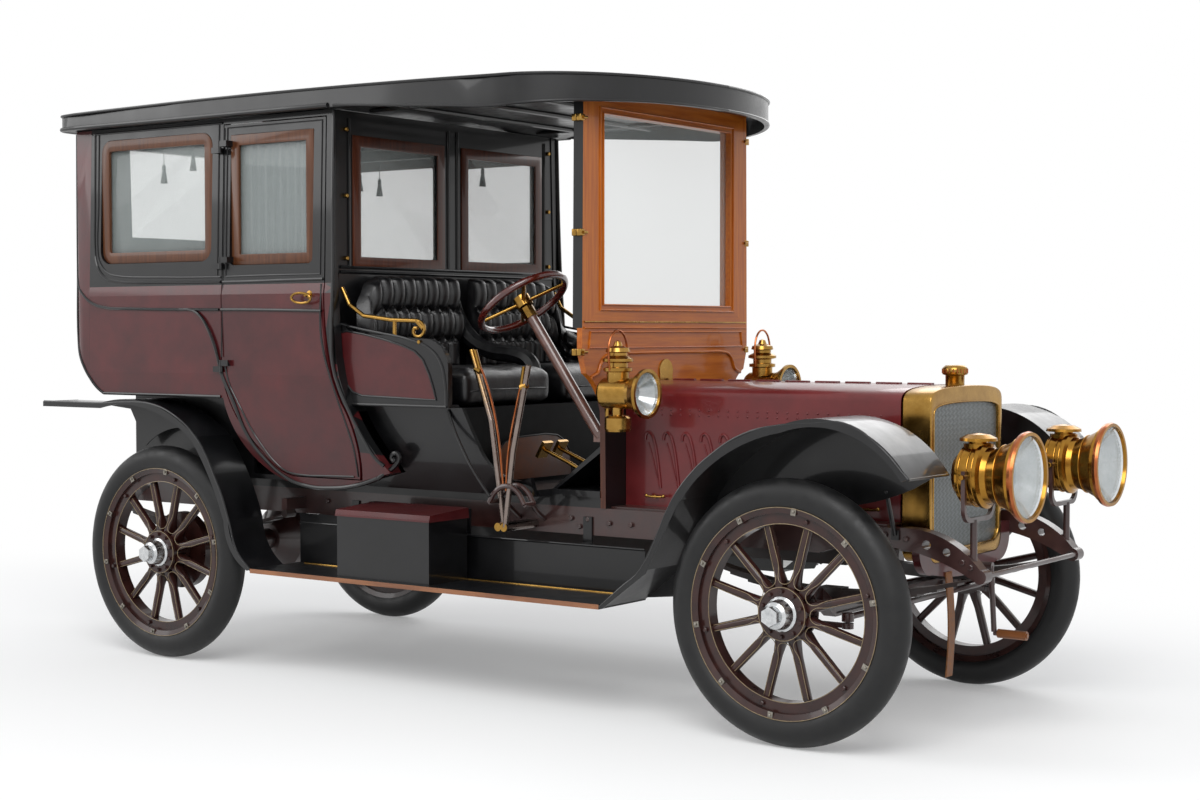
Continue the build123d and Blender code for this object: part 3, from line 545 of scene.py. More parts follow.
front_edge = [(0.815, 0.424), (0.905, 0.498), (0.991, 0.569), (1.126, 0.823), (1.195, 0.910), (1.282, 0.985),
              (1.410, 1.060), (1.558, 1.095), (1.680, 1.105), (1.795, 1.108), (1.920, 1.043), (2.030, 0.935)]
rear_edge = [(-2.258, 1.092), (-2.08, 1.092), (-1.875, 1.092), (-1.720, 1.100), (-1.551, 1.096),
             (-1.405, 1.052),
             (-1.274, 0.965), (-1.212, 0.890), (-1.165, 0.810), (-1.118, 0.722), (-1.080, 0.627),
             (-1.032, 0.500),
             (-0.955, 0.428)]
for side, out in (("right", -1), ("left", 1)):
    wires = [round_strip([(x, out * 0.7965, z) for x, z in front_edge], 0.0045),
             round_strip([(2.030, out * y, 0.933) for y in (0.797, 0.65, 0.505)], 0.0045, sharp=True)]
    finish_piece(joined(wires), f"front_fender_wire_{side}", coach_black, "chassis")
    wires = [round_strip([(x, out * 0.7965, z) for x, z in rear_edge], 0.0045),
             round_strip([(-2.257, out * y, 1.089) for y in (0.797, 0.70, 0.608)], 0.0045, sharp=True)]
    finish_piece(joined(wires), f"rear_fender_wire_{side}", coach_black, "chassis")
    strip = round_strip([(-0.90, out * 0.535, 0.4325), (0.79, out * 0.535, 0.4325)], 0.004, sharp=True)
    finish_piece(strip, f"board_strip_{side}", polished_brass, "chassis")
    guard = framed_prism([(out * y, z) for y, z in ((0.5045, 0.432), (0.5045, 0.622), (0.512, 0.640),
                                                    (0.515, 0.641),
                                                    (0.5085, 0.620), (0.5085, 0.432))], None, -0.950, -0.400)
    finish_piece(guard, f"side_guard_{side}", coach_black, "chassis")
    strip = round_strip([(-0.953, out * 0.506, 0.600), (0.812, out * 0.506, 0.600)], 0.005, sharp=True)
    finish_piece(strip, f"shield_roll_{side}", coach_black, "chassis")


# Dash and windscreen
# Boards and posts of mahogany, stained orange-brown and varnished, with the grain along each
# board. Raised beads frame the panels, and brass clips hold the folding upper frame.

def grained(name, dark, light, along):
    """Varnished wood whose grain runs along x, y or z."""
    made, tree, shader = new_material(name, Specular_IOR_Level=0.25, Coat_Weight=0.3, Coat_Roughness=0.08)
    stretch = [1.0, 1.0, 1.0]
    stretch["xyz".index(along)] = 0.06
    mottled(tree, shader, dark, light, 14, rough=(0.3, 0.45), bump_mm=0.06, stretch=stretch)
    return made


# Varnished mahogany board: orange-brown, with the grain across the car.
board_wood = grained("varnished mahogany board", "#A04F12", "#BC6A1E", "y")
# The same mahogany in the posts: a little lighter, with the grain upright.
post_wood = grained("varnished mahogany post", "#A45214", "#C06E22", "z")
# Dark varnished wood of the cabin frames: deep brown with an upright grain.
dark_wood = grained("dark varnished window frame", "#3E1C0F", "#552A18", "z")
# Plate glass: almost clear, with a faint green-grey cast and sharp reflections.
plate_glass, tree, shader = new_material("thin plate glass", Roughness=0.02, Alpha=0.20, IOR=1.5)
shader.inputs["Base Color"].default_value = linear("#C9D2CF")
wear("dash", board_wood)
wear_part("dash", coach_black, lambda place, normal: place.z < 1.17 and abs(normal.x) > 0.5)
wear_part("dash", dark_wood, lambda place, normal: place.z < 1.17 and abs(normal.x) < 0.5)
wear("windscreen_frame", board_wood)
wear_part("windscreen_frame", post_wood, lambda place, normal: abs(place.y) > 0.452)
wear_part("windscreen_frame", coach_black, lambda place, normal: abs(place.y) > 0.57 and abs(normal.y) > 0.7)
for name in ("fixed_glass", "door_glass_right", "door_glass_left"):
    wear(name, plate_glass)

face_x = 0.586
for front, x in (("front", 0.5855), ("back", 0.5385)):
    beads = [round_strip([(x, -0.472, 1.488), (x, 0.472, 1.488), (x, 0.472, 2.247), (x, -0.472, 2.247)],
                         0.005,
                         closed=True, sharp=True),
             round_strip([(x, -0.452, 1.508), (x, 0.452, 1.508), (x, 0.452, 2.227), (x, -0.452, 2.227)],
                         0.0045,
                         closed=True, sharp=True)]
    finish_piece(joined(beads), f"screen_beads_{front}", post_wood, "chassis")
scallop = [(0.530, 1.236), (0.508, 1.243), (0.487, 1.252), (0.468, 1.285), (0.440, 1.312), (0.400, 1.322),
           (0.25, 1.324)]
outline = [(face_x, -y, z) for y,
           z in scallop] + [(face_x, 0, 1.325)] + [(face_x, y, z) for y, z in reversed(scallop)]
panel = [(face_x, -0.535, 1.405), (face_x, 0.535, 1.405), (face_x, 0.545, 1.345), (face_x, -0.545, 1.345)]
boards = [round_strip(outline, 0.0065), round_strip(panel, 0.004, closed=True, sharp=True)]
finish_piece(joined(boards), "dash_mouldings", board_wood, "chassis")
rule = round_strip([(face_x, -0.575, 1.443), (face_x, 0.575, 1.443)], 0.0032, sharp=True)
finish_piece(rule, "screen_brass_rule", polished_brass, "chassis")
step = round_strip([(face_x, -0.575, 1.421), (face_x, 0.575, 1.421)], 0.004, sharp=True)
finish_piece(step, "screen_sill_step", board_wood, "chassis")

clips = []
for out in (-1, 1):
    for z in (2.20, 1.775, 1.330):
        for dx in (0.0, 0.022):
            bpy.ops.object.select_all(action="DESELECT")
            bpy.ops.mesh.primitive_cube_add(size=1, location=(0.554 + dx, out * 0.584, z))
            leaf = bpy.context.object
            leaf.scale = (0.020, 0.030, 0.026)
            bpy.ops.object.transform_apply(location=False, rotation=False, scale=True)
            soft = leaf.modifiers.new("soft", "BEVEL")
            soft.width = 0.003
            soft.segments = 3
            bpy.ops.object.modifier_apply(modifier="soft")
            clips.append(leaf)
        clips.append(round_strip([(0.588, out * 0.560, z), (0.588, out * 0.584, z)], 0.006, sharp=True))
finish_piece(joined(clips), "screen_clips", polished_brass, "chassis")

bpy.ops.object.select_all(action="DESELECT")
bpy.ops.mesh.primitive_cylinder_add(vertices=48, radius=0.046, depth=0.005,
                                    location=(face_x + 0.001, -0.03, 1.252),
                                    rotation=(0, pi / 2, 0))
plate = bpy.context.object
bpy.ops.object.transform_apply(location=True, rotation=True, scale=True)
bpy.ops.object.mode_set(mode="EDIT")
bpy.ops.mesh.select_all(action="SELECT")
bpy.ops.mesh.bisect(plane_co=(0, 0, 1.236), plane_no=(0, 0, 1), clear_inner=True, use_fill=True)
bpy.ops.mesh.select_all(action="DESELECT")
shape = bmesh.from_edit_mesh(plate.data)
for vertex in shape.verts:
    vertex.select_set(vertex.co.z < 1.2365)
bmesh.update_edit_mesh(plate.data)
bpy.ops.transform.translate(value=(0, 0, -0.030))
bpy.ops.object.mode_set(mode="OBJECT")
finish_piece(plate, "blank_plate", polished_brass, "chassis")


# Coach body
# Ash framing under sheet panels, maroon below and black round the windows, with half-round
# black mouldings nailed over the joints. Many coats of varnish give a deep, wet shine.

def coach_side(x, z):
    """Half width of the coach body at a place on its side, in metres."""
    waist, waist_half, lean, upper_height = 1.6, 0.755, 0.020, 0.69
    swell_radius, swell_across, swell_height = 1.51236, -0.7433, 1.39421
    corner_x, corner_across, corner_radius = -2.022, 0.650, 0.110
    if z > waist:
        half = waist_half - lean * (z - waist) / upper_height
    else:
        half = swell_across + sqrt(swell_radius ** 2 - (z - swell_height) ** 2)
    if x < corner_x:
        half = min(half, corner_across + sqrt(max(0.0, corner_radius ** 2 - (x - corner_x) ** 2)))
    return half


def moulding(points_mm, out, radius, sharp=False, proud=0.0, steps=1):
    """A half-sunk moulding along points given as (x, z) in millimetres on the coach's side."""
    places = []
    for (x0, z0), (x1, z1) in zip(points_mm, points_mm[1:]):
        for step in range(steps):
            t = step / steps
            places.append(((x0 + (x1 - x0) * t) / 1000, (z0 + (z1 - z0) * t) / 1000))
    places.append((points_mm[-1][0] / 1000, points_mm[-1][1] / 1000))
    return round_strip([(x, out * (coach_side(x, z) + proud), z) for x, z in places], radius, sharp=sharp)


for name in ("cabin_sides", "cabin_rear", "door_right", "door_left"):
    wear(name, coach_maroon)
for name in ("cabin_division", "cabin_floor", "front_body_sides", "front_floor", "seat_sides"):
    wear(name, coach_black)
# Lining cloth: flat grey, with a fine nap.
cabin_cloth, tree, shader = new_material("ribbed grey lining cloth", Roughness=0.95, Sheen_Weight=0.3)
mottled(tree, shader, "#4A4B4B", "#5E5F5E", 6, bump_mm=0.3)
window_band_low = 1.600
for name in ("cabin_sides", "door_right", "door_left"):
    wear_part(name, coach_black, lambda place, normal: place.z > window_band_low)
inner_face = 0.716
for name in ("cabin_sides", "door_right", "door_left"):
    wear_part(name, cabin_cloth, lambda place, normal: abs(place.y) < inner_face and normal.y * place.y < -0.3
              * abs(place.y) and abs(normal.x) < 0.4)
wear_part("cabin_sides", coach_black, lambda place, normal: place.x > -0.545 and place.z > 1.27
          or place.x > -0.50 and place.z > 1.08 or place.x > -0.43 and place.z > 0.92)
for side, out in (("right", -1), ("left", 1)):
    for name in ("cabin_sides", f"door_{side}"):
        wear_part(name, coach_black, lambda place, normal: -1.20 < place.x < -1.09
                  and abs(place.y) > coach_side(place.x, place.z) + 0.003)

rear_panel = cad_copy("cabin_rear", lambda centre: True)
bpy.ops.object.select_all(action="DESELECT")
bpy.ops.mesh.primitive_cube_add(size=1, location=(-2.10, 0, 2.035))
cutter = bpy.context.object
cutter.scale = (0.30, 0.870, 0.400)
bpy.ops.object.transform_apply(location=True, rotation=True, scale=True)
bpy.ops.object.select_all(action="DESELECT")
bpy.context.view_layer.objects.active = rear_panel
rear_panel.select_set(True)
hole = rear_panel.modifiers.new("hole", "BOOLEAN")
hole.object = cutter
hole.solver = "EXACT"
bpy.ops.object.modifier_apply(modifier="hole")
bpy.data.objects.remove(cutter)
window_apron = framed_prism([(-0.300, 1.745), (-0.300, 1.838), (0.300, 1.838), (0.300, 1.745)], None, -2.130,
                            -2.108)
rear_panel = joined([rear_panel, window_apron])
finish_piece(rear_panel, "cabin_rear_panel", coach_maroon, "chassis")
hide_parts("cabin_rear")
rear_panel.data.materials.append(cabin_cloth)
for polygon in rear_panel.data.polygons:
    if polygon.center.x > -2.12 and polygon.normal.x > 0.5:
        polygon.material_index = 1
wear_part("cabin_division", cabin_cloth, lambda place, normal: normal.x < -0.5)

body_lines = {
    "belt": ([(-2086, 1640), (-2069, 1606), (-2020, 1560), (-1963, 1529), (-1884, 1511), (-1700, 1504),
              (-1500, 1500), (-1299, 1498), (-1160, 1497)], 6.0),
    "rear_corner": ([(-2108, 2280), (-2102, 2000), (-2096, 1668), (-2084, 1361), (-2060, 1300), (-2033, 1259),
                     (-1993, 1203), (-1951, 1158), (-1913, 1134)], 6.5),
    "sill": ([(-1913, 1134), (-1700, 1134), (-1450, 1134), (-1172, 1134)], 6.5),
    "hinge_swan": ([(-1400, 1499), (-1318, 1494), (-1270, 1470), (-1234, 1431), (-1205, 1385), (-1182, 1335),
                    (-1160, 1255)], 6.0),
    "lower_edge": ([(-1163, 1262), (-1140, 1200), (-1102, 1120), (-1056, 981), (-988, 880), (-889, 800),
                    (-777, 770), (-649, 768), (-514, 784), (-430, 804), (-372, 822)], 9.0),
    "pillar": ([(-528, 2285), (-526, 1900), (-520, 1640), (-515, 1400), (-512, 1274), (-490, 1190),
                (-458, 1112),
                (-398, 977), (-355, 900), (-322, 874)], 8.0),
    "surround": ([(-1967, 2275), (-1965, 2100), (-1963, 1943), (-1959, 1754), (-1950, 1712), (-1925, 1670),
                  (-1885, 1640), (-1831, 1626), (-1487, 1615), (-1160, 1612)], 6.5),
    "surround_inner": ([(-1939, 2275), (-1938, 1950), (-1938, 1754), (-1928, 1718), (-1901, 1683),
                        (-1870, 1662),
                        (-1830, 1650), (-1487, 1636), (-1160, 1632)], 4.0),
    "window_post": ([(-1180, 2275), (-1180, 1950), (-1180, 1640)], 4.0),
    "cant": ([(-1985, 2272), (-1600, 2272), (-1160, 2272)], 5.0),
}
door_lines = {
    "belt": ([(-1148, 1497), (-1000, 1496), (-800, 1493), (-574, 1489)], 6.0),
    "surround": ([(-1146, 1612), (-1000, 1612), (-846, 1614), (-574, 1616)], 6.5),
    "surround_inner": ([(-1130, 1634), (-846, 1636), (-590, 1636), (-590, 2250), (-1130, 2250),
                        (-1130, 1634)], 4.0),
    "inner_line": ([(-1128, 1260), (-1111, 1185), (-1085, 1130), (-1058, 1077), (-1025, 1005), (-986, 940),
                    (-933, 868), (-880, 830), (-819, 818), (-653, 818), (-500, 822)], 4.5),
    "front_line": ([(-583, 1597), (-576, 1414), (-560, 1320), (-541, 1250), (-505, 1130), (-478, 1030),
                    (-465, 950), (-468, 880), (-478, 824)], 4.5),
    "rear_line": ([(-1146, 2250), (-1146, 1900), (-1146, 1600), (-1146, 1300)], 2.5),
}
for side, out in (("right", -1), ("left", 1)):
    strips = [moulding(points, out, size / 1000, sharp=label == "surround_inner" and len(points) < 8)
              for label, (points, size) in body_lines.items()]
    curl = [(-0.372, 0.820), (-0.345, 0.838), (-0.305, 0.860), (-0.274, 0.883), (-0.261, 0.903),
            (-0.267, 0.920),
            (-0.284, 0.925), (-0.299, 0.915), (-0.300, 0.901), (-0.289, 0.896), (-0.281, 0.905)]
    strips.append(round_strip([(x, out * 0.655, z) for x, z in curl], 0.010))
    finish_piece(joined(strips), f"body_mouldings_{side}", coach_black, "chassis")
    strips = [moulding(points, out, size / 1000, sharp=label == "surround_inner")
              for label, (points, size) in door_lines.items()]
    finish_piece(joined(strips), f"door_mouldings_{side}", coach_black, f"door_{side}")


# Window frames, handle and tassels
# Each light has a dark varnished wood frame set in the black surround. The doors have a cast
# brass handle, and silk tassels hang from the blind cords inside. A dark grey sheet inside the
# right door window is painted shade for the dim cabin behind the glass.

def window_frame(corners, axis, depth, width, thickness, corner=0.02):
    """A rounded wood frame round an opening: corners are (low, high) pairs across and up."""
    (a0, a1), (z0, z1) = corners
    bpy.ops.object.select_all(action="DESELECT")
    bpy.ops.mesh.primitive_plane_add(size=1)
    ring = bpy.context.object
    ring.scale = (a1 - a0, z1 - z0, 1)
    bpy.ops.object.transform_apply(location=False, rotation=False, scale=True)
    bpy.ops.object.mode_set(mode="EDIT")
    bpy.ops.mesh.select_mode(type="VERT")
    bpy.ops.mesh.select_all(action="SELECT")
    if corner:
        bpy.ops.mesh.bevel(offset=corner, segments=5, affect="VERTICES")
    bpy.ops.mesh.select_all(action="SELECT")
    bpy.ops.mesh.select_mode(type="FACE")
    bpy.ops.mesh.inset(thickness=width, depth=0)
    bpy.ops.mesh.delete(type="FACE")
    bpy.ops.mesh.select_all(action="SELECT")
    bpy.ops.mesh.extrude_region_move(TRANSFORM_OT_translate={"value": (0, 0, thickness)})
    bpy.ops.mesh.select_all(action="SELECT")
    bpy.ops.mesh.normals_make_consistent(inside=False)
    bpy.ops.object.mode_set(mode="OBJECT")
    soft = ring.modifiers.new("soft", "BEVEL")
    soft.width = 0.0025
    soft.segments = 2
    bpy.ops.object.modifier_apply(modifier="soft")
    middle = ((a0 + a1) / 2, (z0 + z1) / 2)
    if axis == "y":
        ring.rotation_euler = (pi / 2, 0, 0)
        ring.location = (middle[0], depth, middle[1])
    else:
        ring.rotation_euler = (pi / 2, 0, pi / 2)
        ring.location = (depth, middle[0], middle[1])
    bpy.ops.object.transform_apply(location=True, rotation=True, scale=True)
    return ring


# Varnished wood of the side window frames: red-brown with an upright grain.
window_wood = grained("red-brown window frame wood", "#4A2814", "#61391F", "z")
for side, out in (("right", -1), ("left", 1)):
    depth = 0.740 if out > 0 else -0.726
    quarter = window_frame(((-1.919, -1.221), (1.701, 2.239)), "y", depth, 0.048, 0.014, corner=0.058)
    finish_piece(quarter, f"quarter_window_frame_{side}", window_wood, "chassis")
    light = window_frame(((-1.109, -0.636), (1.681, 2.219)), "y", depth, 0.044, 0.014, corner=0)
    finish_piece(light, f"door_window_frame_{side}", window_wood, f"door_{side}")
    rear_rim = window_frame(((-0.470, 0.470), (1.800, 2.270)), "x", -2.122, 0.036, 0.010,
                            corner=0) if out < 0 else None
    if rear_rim:
        finish_piece(rear_rim, "rear_window_frame", dark_wood, "chassis")
    panes = window_frame(((0.056, 0.624) if out > 0 else (-0.624, -0.056), (1.662, 2.196)), "x", -0.541,
                         0.046,
                         0.012, corner=0)
    finish_piece(panes, f"division_frame_{side}", dark_wood, "chassis")
    handle = [round_strip([(-0.645, out * 0.752, 1.552), (-0.645, out * 0.786, 1.552)], 0.007, sharp=True)]
    grip = [(-0.645 + cos(turn) * 0.052 - 0.018, out * (0.790 + 0.006 * sin(turn)), 1.540 + sin(turn) * 0.020)
            for turn in (radians(36 * index) for index in range(10))]
    handle.append(round_strip(grip, 0.0055, closed=True))
    bpy.ops.object.select_all(action="DESELECT")
    bpy.ops.mesh.primitive_cylinder_add(vertices=32, radius=0.019, depth=0.006,
                                        location=(-0.645, out * 0.757, 1.552),
                                        rotation=(pi / 2, 0, 0))
    rose = bpy.context.object
    soft = rose.modifiers.new("soft", "BEVEL")
    soft.width = 0.002
    soft.segments = 2
    bpy.ops.object.modifier_apply(modifier="soft")
    handle.append(rose)
    finish_piece(joined(handle), f"door_handle_{side}", polished_brass, f"door_{side}")

posts = [round_strip([(-0.533, y, 1.66), (-0.533, y, 2.26)], 0.006,
                     sharp=True) for y in (-0.645, -0.030, 0.030, 0.645)]
posts += [round_strip([(-0.533, -0.70, z), (-0.533, 0.70, z)], 0.007, sharp=True) for z in (1.645, 1.665)]
finish_piece(joined(posts), "division_mouldings", coach_black, "chassis")
studs = [hex_bolt((-0.533, y, z), (1, 0, 0), 0.016, 0.012) for y in (-0.668,
                                                                     0.668) for z in (1.70, 1.95, 2.215)]
finish_piece(joined(studs), "pillar_studs", polished_brass, "chassis")

# Twisted black silk: soft, with a thread texture along the cord.
black_silk, tree, shader = new_material("black silk cord", Roughness=0.6, Sheen_Weight=0.4)
mottled(tree, shader, "#121212", "#232323", 3, bump_mm=0.3, stretch=(1, 1, 0.1))


def tassel(x, y, top, drop):
    """A cord with a turned knot and a skirt of silk threads."""
    parts = [round_strip([(x, y, top), (x, y, top - drop)], 0.0016, sharp=True)]
    for offset, low_r, high_r, depth in ((0.004, 0.010, 0.006, 0.016), (0.018, 0.007, 0.011, 0.010),
                                         (0.052, 0.017, 0.008, 0.060)):
        bpy.ops.object.select_all(action="DESELECT")
        bpy.ops.mesh.primitive_cone_add(vertices=16, radius1=low_r, radius2=high_r, depth=depth,
                                        location=(x, y, top - drop - offset))
        cone = bpy.context.object
        soft = cone.modifiers.new("soft", "BEVEL")
        soft.width = 0.002
        soft.segments = 2
        bpy.ops.object.modifier_apply(modifier="soft")
        parts.append(cone)
    return joined(parts)


for name, (x, y, top, drop) in {"a": (-2.03, -0.286, 2.27, 0.10), "b": (-2.03, -0.107, 2.27, 0.03),
                                "c": (-1.58, 0.690, 2.232, 0.085), "d": (-1.71, 0.690, 2.232, 0.055),
                                "e": (-0.93, 0.690, 2.212, 0.045),
                                "f": (-0.93, -0.690, 2.212, 0.045)}.items():
    body = "chassis" if x < -1.2 else ("door_left" if y > 0 else "door_right")
    finish_piece(tassel(x, y, top, drop), f"tassel_{name}", black_silk, body)

panes = cad_copy("fixed_glass", lambda centre: centre.x > -2.0)
new_pane = framed_prism([(-0.436, 1.834), (-0.436, 2.236), (0.436, 2.236), (0.436, 1.834)], None, -2.111,
                        -2.105)
panes = finish_piece(joined([panes, new_pane]), "fixed_panes", plate_glass, "chassis")
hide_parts("fixed_glass")

# A dark grey sheet that fills the right door window: painted shade for the dim cabin behind the glass,
# faintly streaked downwards.
cabin_shade_cloth, tree, shader = new_material("dark grey sheet of painted cabin shade", Roughness=0.8, Sheen_Weight=0.3)
mottled(tree, shader, "#34393C", "#43494C", 30, bump_mm=0.1, stretch=(1, 1, 0.08))
# The sheet hangs just inside the right door glass and covers the whole opening, as painted shade for the
# cabin.
bpy.ops.object.select_all(action="DESELECT")
bpy.ops.mesh.primitive_grid_add(x_subdivisions=80, y_subdivisions=8, size=1, rotation=(pi / 2, 0, 0))
shade_sheet = bpy.context.object
shade_sheet.scale = (0.468, 0.535, 1)
shade_sheet.location = (-0.872, -0.704, 1.950)
bpy.ops.object.transform_apply(location=True, rotation=True, scale=True)
for vertex in shade_sheet.data.vertices:
    vertex.co.y += 0.0022 * sin(vertex.co.x * 150) + 0.0012 * sin(vertex.co.x * 67 + vertex.co.z * 5)
wall = shade_sheet.modifiers.new("wall", "SOLIDIFY")
wall.thickness = 0.0015
bpy.ops.object.modifier_apply(modifier="wall")
finish_piece(shade_sheet, "door_window_shade_sheet_right", cabin_shade_cloth, "door_right")


# Lamps
# Spun brass with copper bezels. Each head lamp has a silvered reflector behind its glass, and
# each side lamp a wire handle over its chimney.

# Silvered copper reflector: bright and slightly hazy.
silvered, tree, shader = new_material("silvered reflector", Metallic=1.0)
mottled(tree, shader, "#C9CDD0", "#E4E7E9", 60, rough=(0.12, 0.25))
lamp_x = 2.138
lamp_y = 0.370
lamp_z = 0.925
# Lacquered brass: deeper and yellower than the bare brass, with smooth highlights.
lamp_brass, tree, shader = new_material("lacquered lamp brass", Metallic=1.0)
mottled(tree, shader, "#8A6326", "#A87A33", 70, rough=(0.16, 0.26))
wear("headlamps", lamp_brass)
wear("sidelamps", polished_brass)


def from_lamp_axis(place, y, z):
    return hypot(abs(place.y) - y, place.z - z)


wear_part("headlamps", copper_trim, lambda place, normal: place.x > lamp_x + 0.094
          and from_lamp_axis(place, lamp_y, lamp_z) > 0.1485)
wear_part("headlamps", silvered, lambda place, normal: place.x > lamp_x - 0.095 and normal.x > 0.05
          and from_lamp_axis(place, lamp_y, lamp_z) < 0.136
          and (normal.y * (place.y - (lamp_y if place.y > 0 else -lamp_y)) + normal.z
               * (place.z - lamp_z)) <= 0)
sidelamp_x = 0.725
sidelamp_y = 0.520
sidelamp_z = 1.178
wear_part("sidelamps", silvered, lambda place, normal: place.x > sidelamp_x + 0.042 and normal.x > 0.2
          and from_lamp_axis(place, sidelamp_y, sidelamp_z) < 0.076)
for side, out in (("right", -1), ("left", 1)):
    x, y = sidelamp_x - 0.025, out * sidelamp_y
    bail = [(x, y - 0.052, 1.262), (x, y - 0.060, 1.320), (x, y - 0.052, 1.372), (x, y - 0.028, 1.402),
            (x, y, 1.411), (x, y + 0.028, 1.402), (x, y + 0.052, 1.372), (x, y + 0.060, 1.320),
            (x, y + 0.052, 1.262)]
    finish_piece(round_strip(bail, 0.0042), f"sidelamp_handle_{side}", copper_trim, "chassis")
    rings = []
    for along, radius in ((-0.092, 0.1015), (-0.060, 0.105), (-0.042, 0.105), (0.034, 0.104)):
        bpy.ops.object.select_all(action="DESELECT")
        bpy.ops.mesh.primitive_torus_add(major_radius=radius, minor_radius=0.0028, major_segments=64,
                                         minor_segments=8, location=(lamp_x + along, out * lamp_y, lamp_z),
                                         rotation=(0, pi / 2, 0))
        rings.append(bpy.context.object)
    for edge in (-0.126, 0.126):
        rings.append(hex_bolt((lamp_x - 0.062, out * lamp_y + edge, lamp_z), (0, 1 if edge > 0 else -1, 0),
                              0.017, 0.012))
    finish_piece(joined(rings), f"headlamp_beads_{side}", lamp_brass, "chassis")
    bpy.ops.object.select_all(action="DESELECT")
    bpy.ops.mesh.primitive_uv_sphere_add(segments=40, ring_count=20, radius=0.0765,
                                         location=(sidelamp_x + 0.096, out * sidelamp_y, sidelamp_z))
    lens = bpy.context.object
    lens.scale = (0.14, 1, 1)
    bpy.ops.object.transform_apply(location=True, rotation=True, scale=True)
    finish_piece(lens, f"sidelamp_glass_{side}", plate_glass, "chassis")


# Driver's seats
# Two deep-buttoned seats in black hide over springs and horsehair, each wrapped round its
# arm, with a padded arm between them. The hide is soft and shiny on the crowns of the pleats.

# Upholstery hide, dyed black and worn: soft sheen on the rolls, with a fine grain.
black_hide, tree, shader = new_material("worn black upholstery hide", Specular_IOR_Level=0.4,
                                        Coat_Weight=0.25,
                                       Coat_Roughness=0.2)
mottled(tree, shader, "#08080A", "#131315", 30, rough=(0.28, 0.46))
place = add_node(tree, "ShaderNodeTexCoord")
grain = add_node(tree, "ShaderNodeTexVoronoi", {"Scale": 1000 / 4}, {"Vector": (place, "Object")})
crease = add_node(tree, "ShaderNodeTexNoise", {"Scale": 1000 / 40, "Detail": 4, "Distortion": 0.6},
                  {"Vector": (place, "Object")})
height = add_node(tree, "ShaderNodeMath", {1: 2.0}, {0: (crease, "Fac")}, operation="MULTIPLY")
total = add_node(tree, "ShaderNodeMath", None, {0: (grain, "Distance"), 1: (height, "Value")},
                 operation="ADD")
lift = add_node(tree, "ShaderNodeBump", {"Strength": 0.6, "Distance": 0.0012}, {"Height": (total, "Value")})
tree.links.new(lift.outputs["Normal"], shader.inputs["Normal"])


def along_path(points):
    """Running lengths of a plan path, and a function for place and inward normal at a length."""
    marks = [0.0]
    for a, b in zip(points, points[1:]):
        marks.append(marks[-1] + hypot(b[0] - a[0], b[1] - a[1]))

    def at(length):
        length = min(max(length, 0.0), marks[-1])
        index = max(i for i, mark in enumerate(marks[:-1]) if mark <= length)
        t = (length - marks[index]) / (marks[index + 1] - marks[index])
        values = [a + (b - a) * t for a, b in zip(points[index], points[index + 1])]
        return values

    return marks[-1], at


def buttoned_panel(plan, low, pleat, rows, depth, step=0.006, roll=0.026):
    """Buttoned hide along a plan path of (x, y, inward x, inward y, top) knots, and its buttons."""
    length, at = along_path(plan)
    across = int(length / step)
    up = 66
    width = length / round(length / pleat)
    grid = bmesh.new()
    lanes = []
    for i in range(across + 1):
        s = length * i / across
        x, y, nx, ny, top = at(s)
        reach = hypot(nx, ny)
        nx, ny = nx / reach, ny / reach
        lane = []
        crown = top - roll
        for j in range(up + 1):
            z = low + (crown - low) * j / up
            share = min(rows - 0.001, (crown - z) / (crown - low) * rows)
            row = int(share)
            within = share - row
            turn = 0.5 * (1 - cos(pi * min(1.0, max(0.0, (within - 0.72) / 0.28))))
            cell = (s / width + 0.5 * row + 0.5 * turn) % 1.0
            gap = 2 * min(cell, 1 - cell)
            puff = sqrt(max(0.0, 1 - (1 - gap) ** 2))
            if turn > 0:
                cell = (s / width + 0.5 * row - 0.5 * turn) % 1.0
                other = 2 * min(cell, 1 - cell)
                puff = min(puff, sqrt(max(0.0, 1 - (1 - other) ** 2)))
            swell = 0.62 + 0.38 * sin(pi * min(1.0, 0.15 + within)) if row < rows - 1 else 0.85
            rise = depth * puff * swell * min(1.0, 0.4 + (z - low) / 0.05)
            lane.append(grid.verts.new((x + nx * rise, y + ny * rise, z)))
        for j in range(1, 7):
            turn = pi / 2 * j / 6
            away = rise * cos(turn) - 0.030 * (1 - cos(turn))
            lane.append(grid.verts.new((x + nx * away, y + ny * away,
                                        crown + roll * sin(turn) * (0.55 + 0.45 * puff))))
        lane.append(grid.verts.new((x - nx * 0.042, y - ny * 0.042, low)))
        lanes.append(lane)
    for left, right in zip(lanes, lanes[1:]):
        for j in range(len(left) - 1):
            grid.faces.new((left[j], right[j], right[j + 1], left[j + 1]))
        grid.faces.new((left[-1], right[-1], right[0], left[0]))
    grid.faces.new(lanes[0])
    grid.faces.new(list(reversed(lanes[-1])))
    bmesh.ops.recalc_face_normals(grid, faces=grid.faces)
    mesh = bpy.data.meshes.new("panel")
    grid.to_mesh(mesh)
    grid.free()
    panel = bpy.data.objects.new("panel", mesh)
    bpy.context.scene.collection.objects.link(panel)
    buttons = [panel]
    for row in range(1, rows):
        for index in range(1, int(length / width)):
            s = width * (index - 0.5 * (row % 2))
            x, y, nx, ny, top = at(s)
            reach = hypot(nx, ny)
            z = top - roll - (top - roll - low) * row / rows
            bpy.ops.object.select_all(action="DESELECT")
            bpy.ops.mesh.primitive_uv_sphere_add(segments=10, ring_count=6, radius=0.0065,
                                                 location=(x + nx / reach * 0.005, y + ny / reach * 0.005, z))
            buttons.append(bpy.context.object)
    return joined(buttons)


